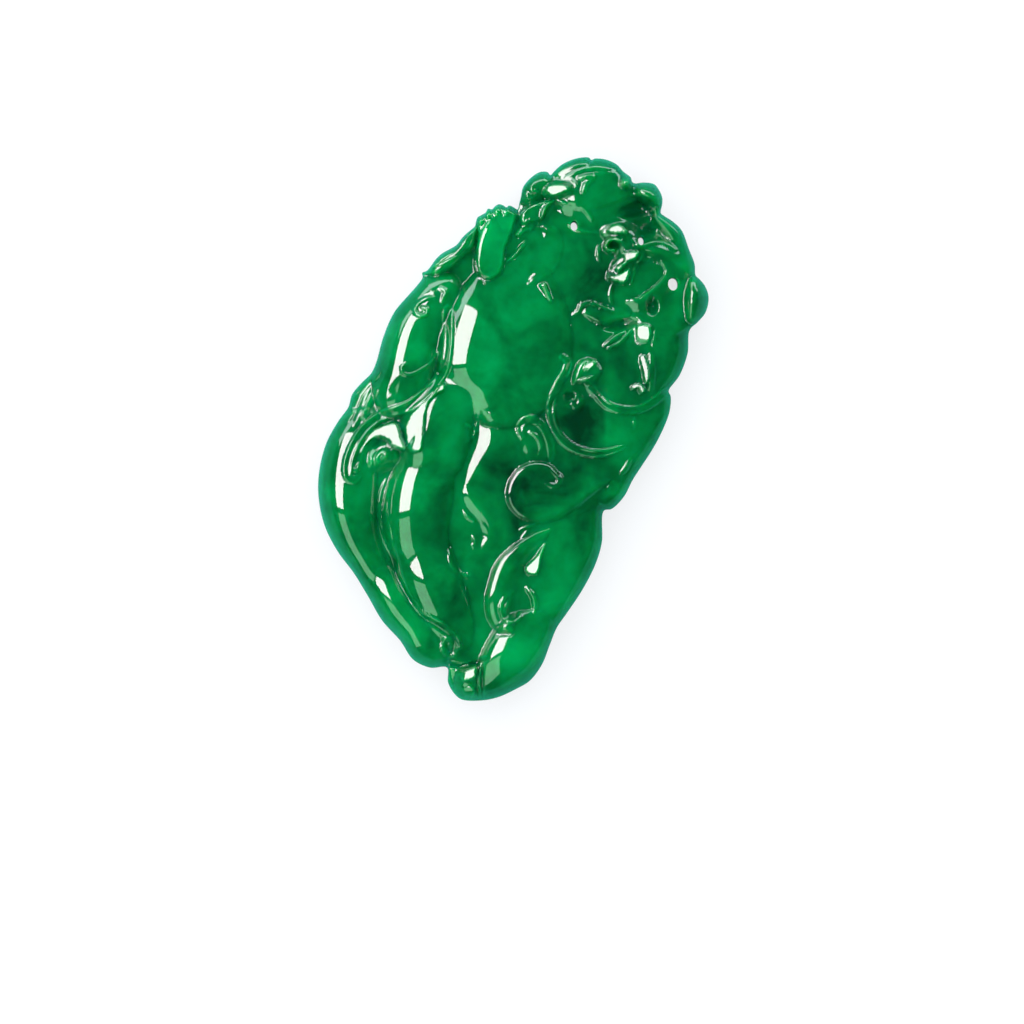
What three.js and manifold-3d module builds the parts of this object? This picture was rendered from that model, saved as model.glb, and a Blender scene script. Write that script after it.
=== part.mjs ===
// A carved jadeite pendant lying on its back: swelling finger-like lobes that run together at a tip,
// curling vine scrolls and leaves over them, and a small crouching beast among openwork at the shoulder.
// Millimetres, +Z up, the flat of the back on z = 0, the long axis along Y with the tip at -Y.
// The front is drawn on a sheet, x to the right and y up, where the pendant leans as it is worn.

import * as THREE from 'three';
import { mergeVertices } from 'three/addons/utils/BufferGeometryUtils.js';
import Module from 'manifold-3d';

// Driving dimensions
const LEAN = 17.5; // degrees that the long axis leans to the right on the sheet
const GIRDLE = 4.9; // height of the widest line above the flat of the back
const WALL = 1.7; // height of the side above the girdle
const DOME = 2.0; // rise of the plain body from the side to the heart
const BACK = 5.5; // fall of the back below the girdle, before the flat is cut
const HEART = [50.0, 58.0]; // the point on the sheet that every ray of the outline starts from
const RIM_HOLD = 24; // power of the closing curve: the front keeps its height until close to the rim
const JADE = { colour: 0x0b8a48, roughness: 0.08, metalness: 0.0 };

// How the forms are rounded and run together
const FULL = 0.62; // power of the profile of a round-shouldered lobe
const SOFT = 1.6; // power of the profile of a broad swelling
const FIRM = 12; // how closely a lobe keeps to its half width
const MELT = 0.25; // millimetres over which one form runs into the next
const OUTLINE_EASE = 0.157; // radians over which the dome evens out the notches of the outline
const OUTLINE_TURNS = 180; // directions in which the evened outline is measured
const ROUND_TOP = 0.6; // power of the profile of a cord

// Fineness of the facets
const RIM_POINTS = 236;
const FRONT_RINGS = 35;
const RING_CROWDING = 1.1; // more than 1 draws the rings towards the rim
const BACK_RINGS = 5;
const EVENING = 0.35; // radius over which the height of a point is evened out
const EVENING_SIDES = 6;
const LINE_STEP = 0.5; // length of the straight pieces that a curved line is measured by
const PIERCING_SIDES = 10;
const BIG = 200; // larger than the stone in any direction

// The outline on the sheet, from the notch beside the tip, up the right side and down the left
const OUTLINE = [
  [44.7, 33.2], [44.8, 31.7], [45.5, 30.5], [46.2, 30.0], [48.0, 29.9], [49.7, 30.2], [51.5, 31.0],
  [53.0, 31.9], [54.2, 33.5], [55.0, 35.5], [55.7, 37.2], [56.8, 38.8], [58.2, 40.9], [59.5, 43.4],
  [60.2, 45.7], [60.4, 48.9], [61.2, 49.1], [62.4, 50.3], [63.3, 52.0], [64.2, 53.4], [65.3, 55.1],
  [66.3, 57.0], [67.0, 58.9], [67.1, 60.4], [66.9, 60.9], [68.0, 62.5], [68.8, 64.7], [69.0, 67.0],
  [69.8, 67.8], [70.6, 68.8], [70.9, 70.3], [70.5, 71.5], [69.7, 72.3], [69.5, 73.6], [68.9, 75.2],
  [68.2, 77.0], [67.2, 78.1], [66.1, 78.7], [66.3, 80.4], [65.7, 81.5], [64.5, 81.8], [63.5, 81.8],
  [63.1, 82.4], [62.1, 83.1], [60.8, 84.0], [59.0, 84.3], [57.1, 84.0], [55.7, 83.2], [55.2, 82.7],
  [54.1, 82.9], [52.9, 82.2], [52.1, 80.8], [51.9, 79.4], [51.6, 78.9], [50.3, 79.6], [48.9, 79.1],
  [47.8, 78.1], [46.7, 76.7], [45.6, 75.4], [44.0, 74.5], [42.4, 73.0], [42.3, 72.3], [41.0, 70.8],
  [39.4, 68.8], [38.3, 66.3], [37.6, 63.8], [37.1, 62.7], [36.2, 61.8], [35.2, 60.6], [34.8, 59.3],
  [33.8, 57.9], [32.6, 55.7], [31.9, 53.0], [31.8, 50.5], [32.4, 47.5], [33.7, 44.9], [35.4, 42.6],
  [36.8, 40.3], [38.2, 37.9], [40.0, 35.9], [41.3, 34.0], [43.0, 33.2],
];

// Full, round-shouldered lobes: points of the crest as x, y, half width and rise above the plain body
const LOBES = {
  upperLeft: [
    [44.7, 71.4, 1.4, 1.5], [43.5, 70.3, 2.2, 1.7], [42.2, 69, 2.7, 1.9], [41.1, 66.8, 3, 2],
    [40.5, 64.4, 3.2, 2.25], [40.2, 62.8, 3, 2.2], [40, 61.5, 2.8, 1.9], [39.6, 60.2, 2.2, 1.5]
  ],
  middleTop: [
    [49.7, 71.2, 2.6, 0.7], [49.4, 69.7, 3.5, 1.6], [48.8, 67.9, 4.1, 2.2], [48, 65.6, 4.3, 2.4],
    [47.5, 63.8, 4, 2.35]
  ],
  middleRight: [
    [51.6, 71.8, 3.2, 0.3], [51.4, 70, 4.6, 1.1], [51.2, 68.2, 5.6, 1.8], [51.2, 66.2, 6.2, 2.3],
    [50.8, 64.2, 6.2, 2.35], [50.4, 62, 5.2, 2.1]
  ],
  longUpper: [
    [46.6, 62, 1.7, 1.1], [45.6, 60.6, 2.5, 1.6], [44.1, 58.9, 3.3, 2.1], [43.5, 56.8, 3.7, 2.5],
    [43.1, 54.9, 3.7, 2.5]
  ],
  longMiddle: [
    [42.6, 53, 2.9, 1.9], [42, 50.6, 3.4, 2.3], [41.6, 48.4, 3.4, 2.4], [41.7, 46.4, 3.1, 2.1],
    [42.1, 45.2, 3, 1.6]
  ],
  longLower: [
    [42.4, 44, 3, 1.8], [43.1, 41.6, 3.1, 2.2], [44.3, 39.2, 2.8, 1.9], [45.2, 37.4, 2.2, 1.2],
    [45.8, 36.2, 1.5, 0.5]
  ],
  left: [
    [36.4, 57.8, 1.6, 0.7], [35, 55.4, 2.8, 1.5], [34.4, 52, 3.3, 2], [34.2, 48.8, 3.4, 2.4],
    [34.7, 46.2, 3.1, 2.2], [35.8, 43.8, 2.6, 1.5], [36.9, 42.2, 2.3, 0.9], [38.2, 40.4, 2.5, 1.5],
    [39.8, 38.2, 2.7, 1.8], [41.6, 35.9, 2.3, 1.6], [43.2, 34.6, 1.7, 1]
  ],
  rightLow: [
    [58.8, 47.6, 2.6, 0.8], [57.4, 45.6, 3.8, 1.6], [56.4, 43.4, 3.9, 1.9], [55.6, 41, 3.4, 1],
    [54.6, 38.2, 3, 0.5]
  ],
  lowEnd: [[53.4, 37, 2, 0.8], [52.6, 35.8, 3.2, 1.9], [50.9, 33.6, 3, 1.95], [49.4, 31.8, 2, 1.2]],
  tip: [[47.3, 35.2, 1.3, 0.7], [47.2, 33.2, 2.2, 1.65], [47, 31.4, 1.8, 1.1]],
  rightFoot: [[63.4, 52.4, 1.2, 0.5], [62, 50.8, 1.4, 0.7], [60.8, 50, 1.1, 0.5]],
  dome: [[57, 80.7, 1.3, 1.75], [57.8, 80.6, 2.3, 1.8], [59.4, 80.2, 4.2, 1.85], [61.6, 80.6, 2.8, 1.6]],
  domeBoss: [[54.8, 80.9, 0.9, 3], [55.8, 81, 1, 3.3], [56.8, 81.1, 0.8, 3.2]],
  curl: [[52.8, 80.2, 0.9, 2.2], [53.4, 81.2, 1.5, 2.9], [54.4, 81.8, 1.1, 2.8]],
  domeBall: [[62.4, 81.6, 0.8, 3.2], [62.8, 81.6, 0.8, 3.2]],
  shell: [[64.2, 80.9, 1, 2.6], [65.2, 80.2, 1.4, 2.8], [65.6, 79.2, 0.8, 2]],
  rightRim: [[66, 78.4, 0.9, 1.6], [67.4, 77, 1.2, 2], [68.4, 75.2, 1.2, 2], [68.9, 73.4, 1, 1.6]],
  head: [[60.9, 76.8, 1, 1.8], [61.9, 76.7, 1.4, 2.2], [62.7, 76, 1.7, 2.4], [62.8, 75, 1.5, 2]],
  snout: [[63.6, 74.6, 1.1, 1.9], [62.6, 73.8, 1.2, 1.9], [61.8, 73, 1, 1.6]],
  jaw: [[63.2, 73.1, 0.7, 1.5], [62, 72.3, 0.8, 1.5], [61.1, 72.3, 0.6, 1.4]],
  knob: [[69.6, 71.6, 0.9, 1.6], [69.7, 70, 1.3, 2.2], [69.4, 68.4, 0.9, 1.6]],
};

// Broad swellings whose edges do not show, given as the lobes are
const SWELLINGS = {
  right: [[61.6, 59, 4, 0.6], [62.4, 56.2, 4.4, 0.8], [61.6, 53.4, 4, 0.7]],
  rightTop: [[65.6, 69, 3, 0.6], [66, 66, 4, 1], [65.6, 63.2, 4, 1], [64.4, 61.2, 3.4, 0.7]],
  rightMiddle: [[60.6, 65.8, 2.6, 0.4], [61.6, 63.4, 3, 0.6], [62.4, 61.4, 2.8, 0.5]],
  cloudBase: [[37.4, 53.8, 1.5, 1.5], [38.8, 54.6, 1.7, 1.9]],
  spiral: [[54, 51, 3.4, 0.7], [56, 50.6, 3.2, 0.8], [59, 50.8, 2.4, 0.6]],
  arch: [[53.2, 56.6, 2.2, 0.6], [53.8, 55.2, 1.8, 0.5]],
  beastBody: [[57.6, 70.8, 3.6, 0.4], [58.8, 72.6, 4.8, 0.7], [59.8, 75, 4.8, 0.5]],
  ruyiBall: [[53, 74.6, 4.2, 0.3], [53.4, 75.2, 4.2, 0.3]],
  topMass: [[54, 78.8, 3, 0.5], [57.6, 78.6, 3.2, 0.8], [62, 78.4, 3.4, 1.1]],
  arm: [[63.6, 75.4, 1.2, 2.2], [65.4, 75.3, 1.5, 2], [67.2, 74.6, 1.5, 1.6], [68.6, 73.2, 1.3, 1.2]],
  haunch: [[65.6, 72.9, 2.4, 0.8], [64.8, 72.2, 3.2, 0.9], [63.4, 70.9, 3, 0.7]],
};

// Flat-topped forms that lie over the rest: the rise in the middle, the width of the rounding along
// the edge, the slope of the top to the right and up, and the outline
const PLATES = {
  petal: {
    rise: 1.9,
    rounding: 0.6,
    slope: [0, -0.05],
    outline: [
      [47.8, 72.6], [47.5, 74.6], [47.7, 76.6], [47.7, 78.3], [48.2, 78.4], [48.6, 79.1], [49.1, 79.1],
      [49.4, 79.6], [49.9, 79.4], [50.2, 79.6], [50.6, 79.6], [51.1, 79.1], [51.7, 78.6], [51.5, 77.6],
      [51.2, 76.6], [50.6, 75], [50.2, 72.8], [49, 71.9]
    ],
  },
  leaf: {
    rise: 1.6,
    rounding: 0.6,
    slope: [0, 0.1],
    outline: [
      [42.4, 72.8], [43.4, 72.4], [44.8, 72.9], [46.4, 74.2], [47.4, 75.2], [47.7, 77.6], [47, 77.1],
      [46, 76], [45.3, 75.2], [44.4, 74.7], [43.3, 73.9]
    ],
  },
  facet: {
    rise: 2.6,
    rounding: 0.6,
    slope: [0.1, 0],
    outline: [
      [51.9, 78.3], [52.6, 79.2], [53.8, 79.8], [55.4, 79.9], [54.8, 79], [54.3, 77.9], [53.2, 77.7],
      [52.1, 77.5]
    ],
  },
  fold: {
    rise: 2.35,
    rounding: 0.6,
    slope: [0.33, -0.2],
    outline: [
      [44.5, 61.6], [43.9, 61.4], [43, 60.3], [42, 59.5], [41, 58.5], [40.6, 57.7], [40.4, 57.2],
      [40.5, 56.4], [40.7, 55], [42, 54.8], [42.4, 56], [42.5, 57.5], [42.7, 59], [43.1, 60], [43.8, 60.6],
      [44.5, 61]
    ],
  },
  lowFacet: {
    rise: 1.25,
    rounding: 0.6,
    slope: [0.44, -0.25],
    outline: [[54.6, 45.6], [53.6, 44.4], [52.5, 43.1], [52.8, 42.6], [53.7, 42.6], [54.3, 44.5]],
  },
};

// Ledges: they drop in a quarter round on the right of the line and fade away over a width on its left.
// Each point of a line is x, y and the share of the sizes that holds there.
const LEDGES = {
  longFold: {
    half: 1.4,
    proud: 0.3,
    fade: 2.2,
    line: [[40.4, 54.9, 0.2], [41.2, 54.7, 1], [42, 54.7, 1], [43, 54.9, 0.8], [44, 55.3, 0.2]],
  },
  spiralRim: {
    half: 0.55,
    proud: 0.5,
    fade: 1.6,
    line: [
      [55.8, 52.2, 0.6], [54.8, 53.2, 0.8], [53.2, 53.3, 1], [52, 52.6, 1], [51.2, 51.2, 1],
      [51.3, 49.8, 1], [52.4, 48.6, 1], [54.4, 48.2, 0.9], [56.6, 49, 0.9], [58.8, 50.6, 0.7], [61, 52, 0.3]
    ],
  },
  lowScroll: {
    half: 1.3,
    proud: 0.95,
    fade: 3.6,
    line: [
      [54.6, 47.2, 0.4], [53.2, 46.2, 0.7], [51.6, 44.9, 0.9], [50.4, 43.4, 1], [49.7, 41.6, 1],
      [49.5, 39.8, 1], [49.9, 38.2, 1], [50.9, 36.9, 0.7]
    ],
  },
  domeLip: {
    half: 0.55,
    proud: 0.2,
    fade: 2.4,
    line: [
      [56.8, 79.7, 0.6], [57.6, 79.5, 0.9], [59, 79.5, 1], [60.6, 79.9, 1], [62.2, 80.5, 1],
      [63.4, 81.2, 0.7]
    ],
  },
  paw: {
    half: 0.45,
    proud: 0.6,
    fade: 1.8,
    line: [[57.9, 68.6, 0.2], [58.8, 68.5, 0.6], [59.8, 68.1, 1], [61.2, 68, 1], [62.8, 68.4, 0.6]],
  },
  ruyiArc: {
    half: 0.5,
    proud: 0.22,
    fade: 1.8,
    line: [
      [52.8, 71.5, 0.3], [54, 72.2, 0.7], [55.1, 73.2, 1], [55.7, 74.6, 1], [55.8, 75.8, 1],
      [55.3, 76.8, 1], [54.4, 77.4, 0.6]
    ],
  },
  petalRidge: {
    half: 0.55,
    proud: 0.4,
    fade: 1.8,
    line: [
      [49.1, 78, 0.6], [48.7, 76.8, 1], [48.4, 76, 1], [48.2, 75, 1], [47.9, 73.1, 1], [47.9, 72.4, 0.4]
    ],
  },
  wedge: {
    half: 1.2,
    proud: 0.6,
    fade: 2,
    line: [[54, 72.4, 0.4], [54.7, 71.6, 1], [55.4, 70.4, 0.7], [56, 69.2, 0.3]],
  },
  bundleOuter: {
    half: 0.5,
    proud: 0.5,
    fade: 1,
    line: [[34.9, 58, 0.5], [35.3, 59.2, 1], [36, 60.6, 1], [36.9, 61.8, 1], [38, 62.8, 0.5]],
  },
  bundleMiddle: {
    half: 0.45,
    proud: 0.45,
    fade: 0.8,
    line: [[37.4, 62.2, 0.5], [36.6, 60.4, 1], [36, 58.8, 1], [35.5, 57.6, 0.5]],
  },
};

// Ledges that drop in a straight slope instead of a quarter round
const RAMPS = {
  scroll: {
    half: 1.2,
    proud: 0.5,
    fade: 3.4,
    line: [
      [48.3, 58.6, 0.5], [48.8, 57.8, 0.8], [49.1, 56.6, 1], [48.9, 55.4, 1], [48.2, 54.2, 0.8],
      [47.5, 53, 0.6], [46.9, 51.9, 0.3], [46.6, 51.3, 0.2]
    ],
  },
  scrollLow: {
    half: 0.8,
    proud: 0.3,
    fade: 2.4,
    line: [
      [46.6, 51.6, 0.3], [46.8, 50.6, 0.7], [47.4, 49.6, 1], [48.2, 48.7, 1], [48.9, 47.6, 1],
      [49, 46.6, 1], [48.5, 45.4, 0.6]
    ],
  },
  scrollLowFace: {
    half: 0.5,
    proud: 0.25,
    fade: 1.4,
    line: [[48, 48, 0.5], [48.7, 47, 1], [48.8, 46.2, 1], [48.2, 45.2, 0.5]],
  },
};

// Vines, stems, ribs and limbs with a round top, their points as those of the ledges
const CORDS = {
  vine: {
    half: 0.6,
    proud: 0.4,
    line: [
      [44.8, 69.2, 1], [44.8, 67, 1], [44.7, 65, 1], [44.3, 63, 1], [43.4, 61.5, 1], [42.2, 60.3, 1],
      [40.8, 59.3, 1], [39.4, 58.8, 1], [38, 58.3, 1], [36.8, 57.4, 1], [35.8, 56.1, 1], [35.1, 54.6, 1],
      [34.8, 53.2, 1], [34.9, 52.3, 0.7], [35.5, 52, 0.6], [36, 52.4, 0.5]
    ],
  },
  stem: {
    half: 0.5,
    proud: 0.15,
    line: [[38.8, 52, 0.6], [38.3, 50.2, 1], [38.3, 48.4, 1], [38.7, 46.6, 1], [39.1, 44.8, 0.4]],
  },
  longVine: {
    half: 0.45,
    proud: 0.5,
    line: [
      [56.2, 64.3, 1], [56.8, 63.8, 1], [56.6, 62.8, 1], [55.9, 61.6, 1], [55.3, 60.2, 1], [55.1, 58.8, 1],
      [55.4, 57.4, 1], [56.2, 56.1, 1], [57.4, 55.2, 1], [59, 54.7, 1], [60.6, 54.7, 1], [62.4, 55.3, 0.4]
    ],
  },
  arc: {
    half: 0.45,
    proud: 0.3,
    line: [
      [58.8, 61.6, 1], [59.6, 60.7, 1], [60.8, 59.5, 1], [62.4, 59, 1], [64, 59.1, 1], [65.6, 60, 1],
      [66.7, 61.1, 1]
    ],
  },
  arch: {
    half: 0.45,
    proud: 0.35,
    line: [
      [52.2, 56.2, 0.4], [52.1, 57.4, 1], [53, 58.1, 1], [54.1, 57.6, 1], [54.9, 56.2, 1], [55.2, 54.8, 1],
      [55.1, 53.8, 0.5]
    ],
  },
  lowCurl: {
    half: 1.1,
    proud: 0.5,
    line: [[51.3, 38.5, 0.7], [51.7, 39.2, 1], [51.4, 40, 0.7]],
  },
  facetSide: {
    half: 0.5,
    proud: 0.45,
    line: [[55.3, 79.7, 0.6], [54.7, 78.9, 1], [54.3, 77.9, 1]],
  },
  lip: {
    half: 0.4,
    proud: 0.28,
    line: [
      [40.9, 40, 0.3], [42, 38.7, 1], [43.2, 38.1, 1], [44.2, 37.7, 1], [45.2, 36.8, 1], [45.9, 36, 1],
      [46.1, 35.2, 0.5]
    ],
  },
  footCurl: {
    half: 0.4,
    proud: 0.4,
    line: [
      [45.9, 35, 1], [45.3, 34.4, 1], [44.6, 34.6, 1], [44.3, 35.3, 1], [44.6, 36.1, 1], [45.1, 35.9, 1],
      [45, 35.1, 1]
    ],
  },
};

// Hollows and small bumps: place, half widths, turn in degrees and rise
const DIMPLES = [
  { at: [58.6, 58.8], half: [3.4, 4], turn: 0, rise: -0.5 },
  { at: [63.5, 79], half: [2.4, 1], turn: 12, rise: -1.3 },
  { at: [64.8, 77], half: [1, 0.9], turn: 0, rise: -1 },
  { at: [65.2, 69.4], half: [0.8, 1.2], turn: 0, rise: -1 },
  { at: [62, 67.5], half: [2.2, 0.8], turn: 8, rise: -0.9 },
  { at: [62.7, 82], half: [0.9, 0.9], turn: 0, rise: 0.5 },
];

// Openwork: places of the piercings and their half widths
const PIERCINGS = [
  { at: [67.3, 71.6], half: [0.5, 0.65] },
  { at: [57.4, 77.4], half: [0.35, 0.5] },
  { at: [64.1, 75.9], half: [0.3, 0.45] },
];

const wasm = await Module();
wasm.setup();

function solidOf(geometry) {
  const bare = geometry.clone();
  for (const name of Object.keys(bare.attributes)) {
    if (name !== 'position') bare.deleteAttribute(name);
  }
  const merged = mergeVertices(bare, 1e-4);
  const corners = merged.index.array;
  const triVerts = [];
  for (let i = 0; i < corners.length; i += 3) {
    const [a, b, c] = [corners[i], corners[i + 1], corners[i + 2]];
    if (a !== b && b !== c && c !== a) triVerts.push(a, b, c);
  }
  return new wasm.Manifold(new wasm.Mesh({
    numProp: 3,
    vertProperties: Float32Array.from(merged.attributes.position.array),
    triVerts: Uint32Array.from(triVerts),
  }));
}

function geometryOf(solid) {
  const mesh = solid.getMesh();
  const geometry = new THREE.BufferGeometry();
  const positions = new Float32Array(mesh.numVert * 3);
  for (let i = 0; i < mesh.numVert; i += 1) {
    for (let k = 0; k < 3; k += 1) positions[3 * i + k] = mesh.vertProperties[mesh.numProp * i + k];
  }
  geometry.setAttribute('position', new THREE.BufferAttribute(positions, 3));
  geometry.setIndex(new THREE.BufferAttribute(Uint32Array.from(mesh.triVerts), 1));
  return geometry;
}

function smoothLine(points, closed = false) {
  const places = points.map(([x, y]) => new THREE.Vector3(x, y, 0));
  return new THREE.CatmullRomCurve3(places, closed, 'centripetal');
}

// Samples of a curved line; what follows x and y in its points is carried evenly from point to point
function sampled(points, closed = false) {
  const curve = smoothLine(points, closed);
  const spans = closed ? points.length : points.length - 1;
  const samples = [];
  for (let i = 0; i < spans; i += 1) {
    const from = points[i];
    const to = points[(i + 1) % points.length];
    const steps = Math.max(1, Math.ceil(Math.hypot(to[0] - from[0], to[1] - from[1]) / LINE_STEP));
    for (let k = 0; k < steps; k += 1) {
      const place = curve.getPoint((i + k / steps) / spans);
      const carried = from.slice(2).map((value, c) => THREE.MathUtils.lerp(value, to[c + 2], k / steps));
      samples.push([place.x, place.y, ...carried]);
    }
  }
  samples.push(closed ? samples[0] : points[points.length - 1]);
  return samples;
}

function lengthOf(samples) {
  const steps = samples.slice(1).map(([x, y], i) => Math.hypot(x - samples[i][0], y - samples[i][1]));
  return steps.reduce((sum, step) => sum + step, 0);
}

// The nearest place on a line of samples: its distance, the share that holds there and the side
// it is seen from
function nearestOn(samples, x, y) {
  let best = { distance: Infinity, share: 1, onLeft: false };
  for (let i = 0; i + 1 < samples.length; i += 1) {
    const [ax, ay, shareA = 1] = samples[i];
    const [bx, by, shareB = 1] = samples[i + 1];
    const dx = bx - ax;
    const dy = by - ay;
    const part = THREE.MathUtils.clamp(((x - ax) * dx + (y - ay) * dy) / (dx * dx + dy * dy), 0, 1);
    const distance = Math.hypot(x - ax - part * dx, y - ay - part * dy);
    if (distance < best.distance) {
      const share = THREE.MathUtils.lerp(shareA, shareB, part);
      best = { distance, share, onLeft: dx * (y - ay) - dy * (x - ax) > 0 };
    }
  }
  return best;
}

// The greater of two rises, run together where they are close and both stand clear of the body
function meltedMax(a, b) {
  const clear = THREE.MathUtils.clamp(Math.min(a, b) / MELT, 0, 1);
  const near = Math.max(0, 1 - Math.abs(a - b) / (3 * MELT)) * clear;
  return Math.max(a, b) + near ** 3 * MELT * 0.5;
}

// Rise of a lobe: 1 - (distance / half width)^2 from every sample of its crest, run together, to a power
function lobeRise({ samples, spacing, power }, x, y) {
  let total = 0;
  let weighted = 0;
  for (const [cx, cy, half, rise] of samples) {
    const spread = (spacing / half) * Math.sqrt(FIRM / Math.PI);
    const weight = spread * Math.exp(FIRM * (1 - ((x - cx) ** 2 + (y - cy) ** 2) / half ** 2));
    total += weight;
    weighted += weight * rise;
  }
  return total > 1 ? (weighted / total) * (Math.log(total) / FIRM) ** power : 0;
}

function isInside(samples, x, y) {
  let inside = false;
  for (let i = 0; i + 1 < samples.length; i += 1) {
    const [ax, ay] = samples[i];
    const [bx, by] = samples[i + 1];
    if ((ay > y) !== (by > y) && x < ax + ((y - ay) * (bx - ax)) / (by - ay)) inside = !inside;
  }
  return inside;
}

// Rise of a plate: its tilted top, with a quarter round along the edge
function plateRise({ rise, rounding, slope, samples, middle }, x, y) {
  if (!isInside(samples, x, y)) return 0;
  const depth = Math.min(1, nearestOn(samples, x, y).distance / rounding);
  const top = rise + slope[0] * (x - middle[0]) + slope[1] * (y - middle[1]);
  return top * Math.sqrt(1 - (1 - depth) ** 2);
}

function ledgeRise({ half, proud, fade, samples, straight }, x, y) {
  const { distance, share, onLeft } = nearestOn(samples, x, y);
  const u = distance / ((onLeft ? fade : half) * share);
  if (u >= 1) return 0;
  const fall = straight ? 1 - u : Math.sqrt(1 - u * u);
  return proud * share * (onLeft ? (1 - u * u) ** 2 : fall);
}

function cordRise({ half, proud, samples }, x, y) {
  const { distance, share } = nearestOn(samples, x, y);
  const u = distance / (half * Math.sqrt(share));
  return u < 1 ? proud * share * (1 - u * u) ** ROUND_TOP : 0;
}

function dimpleRise({ at, half, turn, rise }, x, y) {
  const angle = THREE.MathUtils.degToRad(turn);
  const dx = x - at[0];
  const dy = y - at[1];
  const u = (dx * Math.cos(angle) + dy * Math.sin(angle)) / half[0];
  const v = (dy * Math.cos(angle) - dx * Math.sin(angle)) / half[1];
  return rise * Math.max(0, 1 - u * u - v * v) ** 2;
}

function crests(forms, power) {
  return Object.values(forms).map((crest) => {
    const samples = sampled(crest);
    return { samples, spacing: lengthOf(samples) / (samples.length - 1), power };
  });
}

function lines(forms) {
  return Object.values(forms).map((form) => ({ ...form, samples: sampled(form.line) }));
}

const lobes = [...crests(LOBES, FULL), ...crests(SWELLINGS, SOFT)];
const ledges = [...lines(LEDGES), ...lines(RAMPS).map((ramp) => ({ ...ramp, straight: true }))];
const cords = lines(CORDS);
const plates = Object.values(PLATES).map((plate) => {
  const samples = sampled(plate.outline, true);
  const middle = [0, 1].map((k) => samples.reduce((sum, p) => sum + p[k], 0) / samples.length);
  return { ...plate, samples, middle };
});

// Distance from the heart to the outline with its notches evened out, in even turns of direction
const rim = smoothLine(OUTLINE, true).getSpacedPoints(RIM_POINTS).slice(0, RIM_POINTS);
const easedReach = Array.from({ length: OUTLINE_TURNS }, (_, k) => {
  const direction = (k / OUTLINE_TURNS) * 2 * Math.PI;
  let total = 0;
  let weighted = 0;
  for (const p of rim) {
    const turn = Math.atan2(p.y - HEART[1], p.x - HEART[0]) - direction;
    const away = Math.atan2(Math.sin(turn), Math.cos(turn)) / OUTLINE_EASE;
    const weight = Math.exp(-0.5 * away * away);
    total += weight;
    weighted += weight * Math.hypot(p.x - HEART[0], p.y - HEART[1]);
  }
  return weighted / total;
});

function easedEdge(x, y) {
  const turn = Math.atan2(y - HEART[1], x - HEART[0]) / (2 * Math.PI);
  const place = (turn - Math.floor(turn)) * OUTLINE_TURNS;
  const left = Math.floor(place) % OUTLINE_TURNS;
  const right = (left + 1) % OUTLINE_TURNS;
  const reach = THREE.MathUtils.lerp(easedReach[left], easedReach[right], place - Math.floor(place));
  return Math.hypot(x - HEART[0], y - HEART[1]) / reach;
}

// Rise of the front above the girdle, before it closes towards the rim
function frontRise(x, y) {
  const body = WALL + DOME * (1 - easedEdge(x, y) ** 2);
  let forms = 0;
  for (const lobe of lobes) forms = meltedMax(forms, lobeRise(lobe, x, y));
  const overlay = Math.max(...plates.map((plate) => plateRise(plate, x, y)));
  const carved = Math.max(
    ...ledges.map((ledge) => ledgeRise(ledge, x, y)),
    ...cords.map((cord) => cordRise(cord, x, y)),
  );
  const dimples = DIMPLES.reduce((sum, dimple) => sum + dimpleRise(dimple, x, y), 0);
  return body + meltedMax(forms, overlay) + carved + dimples;
}

// Height of the front at a place on the sheet, evened out over a facet's width;
// edge is 0 at the heart and 1 on the outline
function frontHeight(x, y, edge) {
  let rise = frontRise(x, y);
  for (let k = 0; k < EVENING_SIDES; k += 1) {
    const turn = (k / EVENING_SIDES) * 2 * Math.PI;
    rise += frontRise(x + EVENING * Math.cos(turn), y + EVENING * Math.sin(turn));
  }
  return GIRDLE + (rise / (EVENING_SIDES + 1)) * Math.sqrt(Math.max(0, 1 - edge ** RIM_HOLD));
}

// A ring of points: the outline drawn in towards the heart
function rimPlace(turn) {
  const place = turn * rim.length;
  const left = Math.floor(place) % rim.length;
  return rim[left].clone().lerp(rim[(left + 1) % rim.length], place - Math.floor(place));
}

function ring(count, edge, heightOf) {
  return Array.from({ length: count }, (_, j) => {
    const p = rimPlace(j / count);
    const x = HEART[0] + (p.x - HEART[0]) * edge;
    const y = HEART[1] + (p.y - HEART[1]) * edge;
    return [x, y, heightOf(x, y)];
  });
}

// Triangles between an inner and an outer ring that may differ in count, seen from the inner ring's side
function zip(inner, outer, facesUp, index) {
  let i = 0;
  let j = 0;
  const push = (a, b, c) => (facesUp ? index.push(a, b, c) : index.push(a, c, b));
  while (i < inner.count || j < outer.count) {
    const innerNext = (i + 1) / inner.count;
    const outerNext = (j + 1) / outer.count;
    const a = inner.start + (i % inner.count);
    const b = outer.start + (j % outer.count);
    if (j < outer.count && (i >= inner.count || outerNext <= innerNext)) {
      push(a, b, outer.start + ((j + 1) % outer.count));
      j += 1;
    } else {
      push(a, b, inner.start + ((i + 1) % inner.count));
      i += 1;
    }
  }
}

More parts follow.
